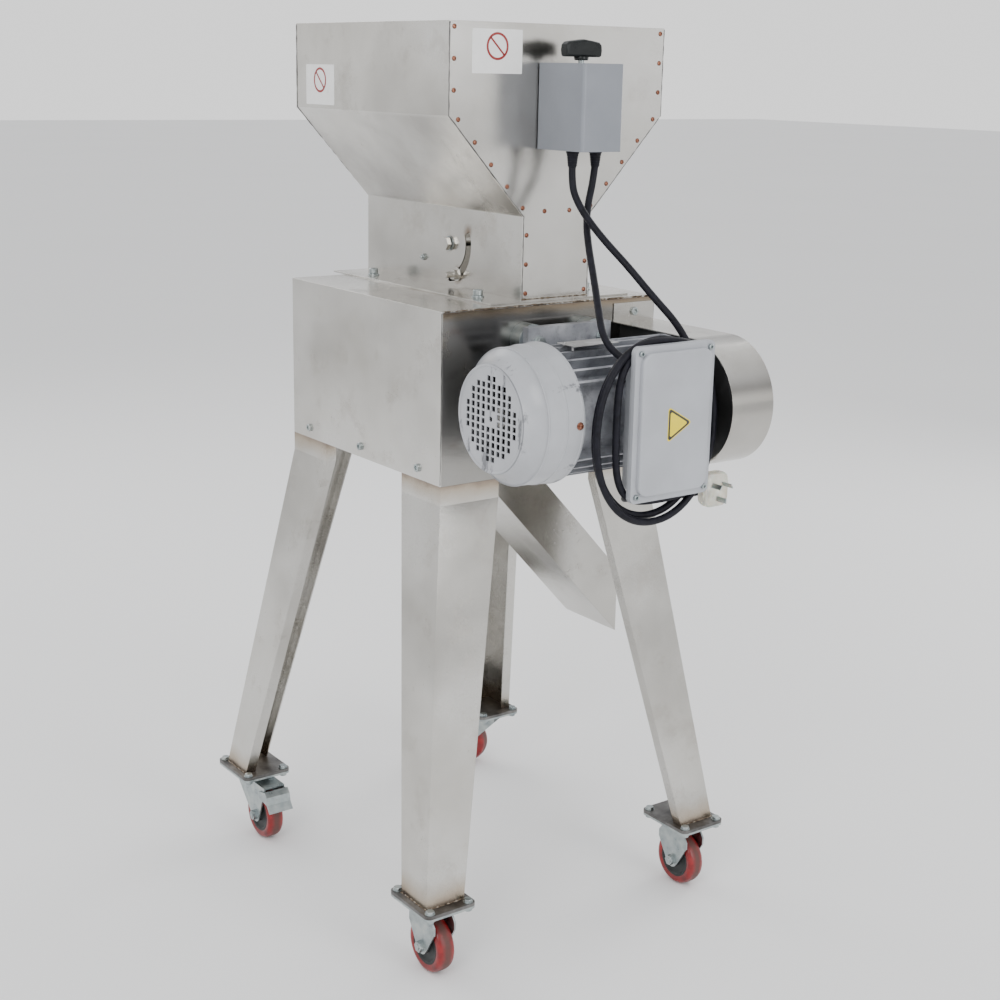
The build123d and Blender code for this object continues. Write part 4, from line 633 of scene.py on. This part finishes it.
def make_rivets():
    shape = Shape()
    rear_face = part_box("hopper_rear_plate")[1].y
    for low, high in islands("hopper_rivets"):
        x, z = (low.x + high.x) / 2, (low.z + high.z) / 2
        front = low.y < 0
        face, out = (front_low.y, -Y_AXIS) if front else (rear_face, Y_AXIS)
        dome = [(0.0016, -0.0044, 0), (0.0022, -0.0042, 0), (0.0022, -0.0031, 0), (0.0016, -0.003, 0),
                (0.0016, 0, 0), (0.0031, 0, 0), (0.0031, 0.0004, 0), (0.0026, 0.0011, 0),
                (0.0016, 0.0015, 0), (0.0009, 0.0015, 0), (0.0008, 0.0008, 0), (0.0001, 0.0008, 0)]
        shape.turned(dome, (x, face, z), out, 18)
    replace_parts(shape.piece("rivets", "frame", "copper_rivets", copper(), 40), "hopper_rivets")


def make_screws():
    """A screw's place tells its kind: flange bolt, lid screw, gate stop, side screw or panel screw."""
    shape = Shape()
    flange_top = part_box("hopper_flange")[1].z
    for low, high in islands("panel_and_flange_screws"):
        middle, size = (low + high) / 2, high - low
        if size.z > FLANGE_BOLT_LENGTH:
            shape.turned([(0.008, 0, 0), (0.0082, 0.0004, 0), (0.008, 0.0016, 0), (0.0045, 0.0016, 0)],
                         (middle.x, middle.y, flange_top))
            shape.turned([(0.0062, 0.0016, 0), (0.0066, 0.0022, 0), (0.0054, 0.0034, 0), (0.004, 0.0034, 0)],
                         (middle.x, middle.y, flange_top))
            socket_head(shape, (middle.x, middle.y, flange_top + 0.003), Z_AXIS,
                        0.0064, 0.0066, 0.0039, 0.012)
            hex_head(shape, (middle.x, middle.y, shell_high.z - 0.0015), -Z_AXIS,
                     0.0075, 0.0062, 0.0039, 0.002)
        elif low.y < LID_SCREW_PLACE:
            socket_head(shape, (middle.x, lid_low.y + 0.006, middle.z), -Y_AXIS,
                        0.0035, 0.0033, 0.0024, 0.007)
        elif middle.z > GATE_STOP_HEIGHT:
            hex_head(shape, (high.x - 0.0015, middle.y, middle.z), -X_AXIS,
                     0.0046, 0.003, 0.0022, 0.0015, 0.003)
        elif abs(middle.x) > SIDE_SCREW_PLACE:
            side = math.copysign(1, middle.x)
            socket_head(shape, (side * shell_high.x, middle.y, middle.z), X_AXIS * side,
                        0.0052, 0.0033, 0.0029, 0.005)
        else:
            socket_head(shape, (middle.x, PANEL_SCREW_SEAT, middle.z), -Y_AXIS, 0.0055, 0.0033, 0.0029, 0.004)
    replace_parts(shape.piece("panel_screws", "frame", "zinc_plated", zinc_metal), "panel_and_flange_screws")


def make_caster_bolts():
    shape = Shape()
    for low, high in islands("caster_bolts"):
        x, y = (low.x + high.x) / 2, (low.y + high.y) / 2
        top, under = high.z - 0.004, low.z + 0.006
        hex_head(shape, (x, y, top + 0.0008), Z_AXIS, 0.0058, 0.0032, 0.003, 0.007)
        shape.turned([(0.0066, 0, 0), (0.0066, 0.0008, 0), (0.004, 0.0008, 0)], (x, y, top))
        shape.turned([(0.0066, 0, 0), (0.0066, 0.0008, 0), (0.004, 0.0008, 0)], (x, y, under), -Z_AXIS)
        hex_head(shape, (x, y, under - 0.0008), -Z_AXIS, 0.0058, 0.0038, 0.003, 0.004, 0.0012)
    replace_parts(shape.piece("caster_fasteners", "frame", "zinc_plated", zinc_metal), "caster_bolts")


# ---------------------------------------------------------------- wheels
def make_wheel(body, node, tyre_paint, hub_paint):
    joint = hinges[body]
    turn = Vector(joint["axis"]).to_track_quat("Z", "Y").to_matrix().to_4x4()
    seat = Matrix.Translation(joint["pos_m"]) @ turn
    half = [(0.0262, 0.0114), (0.0285, 0.0124), (0.0315, 0.0125), (0.0338, 0.0119), (0.0356, 0.0103),
            (0.0367, 0.0080), (0.0373, 0.0052), (0.0375, 0.0022)]
    profile = ([(radius, -height) for radius, height in half]
               + [(radius, height) for radius, height in reversed(half)])
    tyre = Shape()
    count = 96
    points = [(r * math.cos(2 * math.pi * s / count), r * math.sin(2 * math.pi * s / count), h)
              for r, h in profile for s in range(count)]
    tyre.add(points, bands(len(profile), count, closed=True))
    rubber_ring = tyre.piece(node + "_tyre", body, "red_tyre", tyre_paint, 50, seat)
    hub = Shape()
    dish = [(0.0085, 0.0136), (0.0105, 0.0134), (0.0112, 0.0095), (0.0140, 0.0086), (0.0205, 0.0086),
            (0.0222, 0.0098), (0.0232, 0.0113), (0.0258, 0.0119), (0.0270, 0.0112)]
    rings = [(r, -h, 0) for r, h in dish] + [(r, h, 0) for r, h in reversed(dish)]
    rings = [(0.0042, -0.0136, 0)] + rings + [(0.0042, 0.0136, 0)]
    hub.turned(rings, count=72)
    hub.piece(node + "_hub", body, "red_tyre", hub_paint, 40, seat)
    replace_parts(rubber_ring, node)


def make_wheels():
    tyre_paint = tread()
    hub_paint = plastic("dark_nylon", (0.02, 0.023, 0.023), 0.02, 0.45, Specular_IOR_Level=0.3)
    for corner in ("front_left", "front_right", "rear_left", "rear_right"):
        make_wheel("wheel_body_" + corner, "wheel_" + corner, tyre_paint, hub_paint)


# ---------------------------------------------------------------- switch knob
def make_knob():
    low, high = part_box("switch_knob")
    x, y, base = (low.x + high.x) / 2, (low.y + high.y) / 2, high.z - 0.021
    profile = [(-0.0268, 0), (-0.028, 0.008), (-0.0272, 0.0145), (-0.0235, 0.0178), (-0.012, 0.0195),
               (0, 0.021), (0.012, 0.0195), (0.0235, 0.0178), (0.0272, 0.0145), (0.028, 0.008), (0.0268, 0)]
    shape = Shape()
    points = [(x + px, y + py, base + pz) for py in (-0.0072, 0.0072) for px, pz in profile]
    shape.add(points, capped(2, len(profile)))
    grip = shape.piece("knob_grip", "knob", "black_plastic",
                       plastic("black_nylon", (0.006, 0.008, 0.008), 0.008, 0.3, Specular_IOR_Level=0.3))
    bevel = grip.modifiers.new("rounding", "BEVEL")
    bevel.width, bevel.segments, bevel.limit_method, bevel.angle_limit = 0.0028, 4, "ANGLE", math.radians(60)
    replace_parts(grip, "switch_knob")
    boss = Shape().turned([(0.0088, 0, 0), (0.0092, -0.001, 0), (0.0088, -0.0035, 0), (0.0078, -0.0045, 0)],
                          (x, y, base + 0.0005))
    boss.piece("knob_boss", "knob", "black_plastic", grip.data.materials[0])
    stem = Shape().turned([(0.0039, 0.001, 0), (0.0039, low.z - base, 0)], (x, y, base))
    stem.piece("knob_stem", "knob", "zinc_plated", zinc_metal)


# ---------------------------------------------------------------- stickers
RING_INNER, RING_OUTER, RING_LIFT = 0.0135, 0.0165, 0.006
BAR_HALF_LENGTH, BAR_HALF_WIDTH = 0.0145, 0.0012
LABEL_HALF_WIDTH, LABEL_HALF_HEIGHT = 0.0375, 0.0262


def vinyl(name, dark, light):
    return plastic(name, dark, light, 0.35, 300.0, 0.05)


def sticker(name, centre, right, out, half_width, half_height):
    """A blank white label with a plain red ring and bar."""
    up = Z_AXIS
    turn = Matrix((right, up, out)).transposed().to_4x4()
    seat = Matrix.Translation(centre) @ turn

    def layer(label, outlines, lift, material):
        shape = Shape()
        for ring in outlines:
            points = [(px, py, lift * side) for side in (0, 1) for px, py in ring]
            shape.add(points, capped(2, len(ring)), seat)
        shape.piece(name + label, "frame", "box_paint", material)

    layer("_label", [rounded_outline(half_width, half_height, 0.0012)], 0.0003, white_vinyl)
    arcs = []
    for part in range(36):
        a, b = math.radians(part * 10), math.radians(part * 10 + 10.001)
        arcs.append([(r * math.cos(t), RING_LIFT + r * math.sin(t))
                     for r, t in ((RING_INNER, a), (RING_OUTER, a), (RING_OUTER, b), (RING_INNER, b))])
    c = math.cos(math.radians(45))
    bar = [(s * BAR_HALF_LENGTH * c + t * BAR_HALF_WIDTH * c,
            RING_LIFT - s * BAR_HALF_LENGTH * c + t * BAR_HALF_WIDTH * c)
           for s, t in ((-1, -1), (1, -1), (1, 1), (-1, 1))]
    layer("_ring", arcs + [bar], 0.00045, red_vinyl)


def rounded_triangle(size, corner, steps=6):
    points = []
    for vertex in range(3):
        facing = vertex * 2 * math.pi / 3
        centre = ((size - 2 * corner) * math.cos(facing), (size - 2 * corner) * math.sin(facing))
        for step in range(steps + 1):
            angle = facing - math.pi / 3 + step / steps * 2 * math.pi / 3
            points.append((centre[0] + corner * math.cos(angle), centre[1] + corner * math.sin(angle)))
    return points


def make_stickers():
    sticker("front_label", (-0.0715, front_low.y, 1.1545), X_AXIS, -Y_AXIS,
            LABEL_HALF_WIDTH, LABEL_HALF_HEIGHT)
    sticker("side_label", (front_low.x, 0.2, 1.109), -Y_AXIS, -X_AXIS, LABEL_HALF_WIDTH, LABEL_HALF_HEIGHT)
    centre = Vector((0.0135, lid_low.y, 0.7305))
    for label, size, lift, material in (("_edge", 0.0255, 0.0002, yellow_vinyl),
                                        ("_border", 0.0235, 0.0003, black_vinyl),
                                        ("_field", 0.0185, 0.0004, yellow_vinyl)):
        ring = rounded_triangle(size, size * 0.11)
        points = [(centre.x + px, centre.y - lift * side, centre.z + pz)
                  for side in (0, 1) for px, pz in ring]
        shape = Shape().add(points, capped(2, len(ring)))
        shape.piece("triangle" + label, "frame", "box_paint", material)


# ---------------------------------------------------------------- welds and trim
NECK_LOW_X, NECK_HIGH_X = -0.027, 0.081
HOUSING_MIDDLE_Y = 0.045


def bead(shape, points, radius=0.0011, gap=0.003, wobble=0.45):
    line = []
    for a, b in zip(points, points[1:]):
        a, b = Vector(a), Vector(b)
        steps = max(2, int((b - a).length / gap))
        line += [a.lerp(b, s / steps) for s in range(steps)]
    line.append(Vector(points[-1]))
    loose = [point + Vector([random.uniform(-1, 1) * radius * 0.25 for _ in range(3)]) for point in line]
    shape.tube(loose, radius, 8, wobble)


def make_welds():
    shape = Shape()
    edge_y, top = shell_low.y + 0.0006, shell_high.z - 0.0004
    bead(shape, [(shell_low.x + 0.004, edge_y, top), (shell_high.x - 0.004, edge_y, top)], 0.0011)
    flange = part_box("hopper_flange")[1].z
    bead(shape, [(NECK_LOW_X, front_low.y, flange), (NECK_HIGH_X, front_low.y, flange)], 0.001)
    foot = 0.058
    for name in ("leg_front_left", "leg_front_right", "leg_rear_left", "leg_rear_right"):
        low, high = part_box(name)
        side_x, side_y = (math.copysign(1, (low + high).x),
                          math.copysign(1, (low + high).y - 2 * HOUSING_MIDDLE_Y))
        corner_x = high.x if side_x > 0 else low.x
        corner_y = high.y if side_y > 0 else low.y
        bead(shape, [(corner_x - side_x * foot, corner_y, low.z), (corner_x, corner_y, low.z),
                     (corner_x, corner_y - side_y * foot, low.z)], 0.0013)
    shape.piece("weld_beads", "frame", "stainless", weld_metal(), 60)


def make_seams():
    """Dark lines where the hopper's end plates meet the folded side sheets."""
    shape = Shape()
    side_low, side_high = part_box("hopper_left_sheet")
    neck_x, rim_x = side_high.x - 0.0125, side_low.x
    centre = (front_low.x + front_high.x) / 2
    slope_top, slope_foot = front_high.z - RIM_HEIGHT, front_high.z - RIM_HEIGHT - SLOPE_HEIGHT
    for y in (front_low.y + 0.0004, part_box("hopper_rear_plate")[1].y - 0.0004):
        for side in (1, -1):
            edge = [(rim_x, front_high.z - 0.0015), (rim_x, slope_top),
                    (neck_x, slope_foot), (neck_x, front_low.z)]
            points = [(centre + (x - centre) * side, y, z) for x, z in edge]
            bead(shape, points, 0.0008, 0.006, 0.25)
    for x in (shell_low.x, shell_high.x):
        bead(shape, [(x, shell_low.y + 0.0004, shell_low.z + 0.002),
                     (x, shell_low.y + 0.0004, shell_high.z - 0.002)], 0.0005, 0.008, 0.2)
    shape.piece("dark_seams", "frame", "stainless", dark_steel(), 60)


def cover_radius(x):
    """The fan cover's outer radius: it widens a little from the shoulder to the open rim."""
    rim = (cover_high.z - cover_low.z) / 2
    return rim - COVER_TAPER * (cover_high.x - x) / (cover_high.x - COVER_SHOULDER)


def make_motor_trim():
    shape = Shape()
    centre = Vector((0, motor_point.y, motor_point.z))
    for x in (-0.149, -0.1235, -0.1015):
        radius = cover_radius(x)
        rings = [(radius - 0.0006, -0.0016, 0), (radius + 0.0003, -0.0012, 0), (radius + 0.0007, 0, 0),
                 (radius + 0.0003, 0.0012, 0), (radius - 0.0006, 0.0016, 0)]
        ring_shape(shape, rings, centre + X_AXIS * x)
    lip = [(0.0645, 0.0002, 0), (0.0655, -0.0012, 0), (0.0642, -0.0016, 0), (0.0628, -0.0010, 0),
           (0.0622, 0.0002, 0)]
    ring_shape(shape, lip, centre + X_AXIS * (cover_low.x + 0.0001))
    shape.piece("fan_cover_ridges", "frame", "cover_paint", cover_paint, 60)
    screws = Shape()
    for angle in (math.pi, -math.pi / 3, math.pi / 3):
        out = Vector((0, math.cos(angle), math.sin(angle)))
        spot = centre + X_AXIS * SCREW_PLACE + out * cover_radius(SCREW_PLACE)
        screws.turned([(0.0048, -0.0005, 0), (0.0048, 0.0006, 0), (0.0036, 0.0008, 0), (0.0034, 0.0026, 0),
                       (0.0026, 0.0033, 0), (0.0012, 0.0034, 0), (0.001, 0.0022, 0), (0.0001, 0.0022, 0)],
                      spot, out)
    screws.piece("fan_cover_screws", "frame", "copper_rivets", copper(), 35)


def ring_shape(shape, rings, origin, count=96):
    """A ring of the given section round the X axis through origin: rings hold (radius, x offset, unused)."""
    points = [(origin.x + h, origin.y + r * math.cos(2 * math.pi * s / count),
               origin.z + r * math.sin(2 * math.pi * s / count)) for r, h, _ in rings for s in range(count)]
    shape.add(points, bands(len(rings), count, closed=True))


# ---------------------------------------------------------------- materials of the CAD nodes
def dress(material, *nodes):
    for name in nodes:
        for slot in frame["nodes"][name].material_slots:
            slot.link = "OBJECT"
            slot.material = material


zinc_metal = zinc()
cover_paint = paint("silver_grey_paint", (0.36, 0.37, 0.39), (0.44, 0.45, 0.475), 0.34, 500.0, 0.12, 0.8)
white_vinyl = vinyl("white_vinyl", (0.80, 0.80, 0.79), 0.06)
red_vinyl = vinyl("red_vinyl", (0.26, 0.01, 0.009), 0.02)
yellow_vinyl = vinyl("yellow_vinyl", (0.78, 0.62, 0.004), 0.02)
black_vinyl = vinyl("black_vinyl", (0.02, 0.02, 0.02), 0.02)

make_camera()
make_cords()
make_studio()

dress(stainless("housing_sheet", 0.96, (1, 1, 6), rough=0.2), "housing_shell", "housing_rear_panel")
# Painted shade: tint 0.5 makes this copy of the stainless much darker than the others, for the dim front face
# of the housing; the heat tint and stains on it are real.
dress(stainless("front_panel_shaded_sheet", 0.5, (6, 1, 1), ((0.845, 0.012),), 0.6, 0.18), "housing_front_panel")
dress(stainless("hopper_plate_sheet", 1.04, (1, 1, 8), grime=0.2, rough=0.13), "hopper_front_plate",
      "hopper_rear_plate")
slope_top, slope_foot = front_high.z - RIM_HEIGHT, front_high.z - RIM_HEIGHT - SLOPE_HEIGHT
pivot = Vector(hinges["gate"]["pos_m"])
slot_top = Vector((pivot.x, pivot.y - 0.043, pivot.z + 0.018))
wall_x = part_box("throat_guides")[0].x
burns = (((wall_x, pivot.y, pivot.z), 0.014), ((wall_x, slot_top.y, slot_top.z), 0.012),
         ((wall_x, pivot.y - 0.02, pivot.z - 0.04), 0.014))
# shade= paints the hopper slope darker than the rest of the sheet: painted shade.
dress(stainless("hopper_side_sheet", 0.9, (1, 8, 1), grime=0.35, rough=0.2, spots=burns,
                shade=((slope_foot, slope_top, 0.18, 0.62),)), "hopper_left_sheet",
      "hopper_right_sheet")
dress(stainless("flange_sheet", 0.9, (1, 6, 1), grime=0.5, rough=0.18), "hopper_flange", "throat_guides",
      "feed_gate", "gate_lock_stud")
dress(stainless("leg_sheet", 0.88, (8, 8, 1), ((0.6275, 0.026), (0.1045, 0.034)), 0.35, 0.22),
      "leg_front_left", "leg_front_right", "leg_rear_left", "leg_rear_right")
dress(stainless("chute_sheet", 0.82, (1, 8, 1), ((0.6275, 0.02),), rough=0.18), "outlet_chute",
      "housing_bottom_pan")
dress(stainless("guard_sheet", 0.92, (8, 1, 1), grime=0.4, rough=0.2), "belt_guard")
dress(stainless("inner_sheet", 0.85, (1, 1, 1)), "bearing_bulkhead", "sieve_trough", "crusher_shaft",
      "crusher_drum", "motor_shaft")
dress(zinc_metal, "rigid_forks", "swivel_plates", "swivel_fork_rear_left", "swivel_fork_rear_right",
      "brake_pedal_rear_left", "brake_pedal_rear_right", "motor_bolts_and_spacers", "bearings_and_bushes")
dress(dark_steel(), "foot_plates")
dress(cast_aluminium("motor_casting", (0.27, 0.28, 0.31), (0.50, 0.51, 0.54), 0.45), "motor_frame",
      "motor_end_shields")
dress(cover_paint, "fan_cover")
dress(paint("lid_paint", (0.35, 0.36, 0.385), (0.41, 0.425, 0.455), 0.36, 420.0, 0.25), "terminal_lid")
# Painted shade: the box body is a darker copy of the lid's grey paint, for the body lying in shadow.
dress(paint("box_casting_shaded_paint", (0.27, 0.28, 0.30), (0.36, 0.37, 0.39), 0.42, 420.0, 0.25), "terminal_box")
dress(paint("switch_box_enamel", (0.19, 0.203, 0.228), (0.225, 0.24, 0.27), 0.3, 300.0, 0.08), "switch_box")
dress(paint("guard_black", (0.01, 0.01, 0.01), (0.03, 0.03, 0.03), 0.4, 500.0, 0.2, 0.3), "guard_back_plate")
dress(cast_aluminium("nameplate_metal", (0.30, 0.30, 0.30), (0.62, 0.62, 0.62), 0.4), "nameplate")
dress(cast_aluminium("pulley_casting", (0.10, 0.10, 0.11), (0.22, 0.22, 0.23)), "driven_pulley",
      "drive_pulley")
dress(cast_aluminium("stator_laminations", (0.20, 0.12, 0.08), (0.35, 0.24, 0.17)), "stator")
dress(rubber("belt_rubber"), "drive_belt")
dress(plastic("black_moulding", (0.02, 0.02, 0.02), 0.03, 0.45), "switch_block", "motor_fan",
      "terminal_block_and_capacitor")

make_rivets()
make_screws()
make_caster_bolts()
make_wheels()
make_knob()
make_stickers()
make_welds()
make_seams()
make_motor_trim()
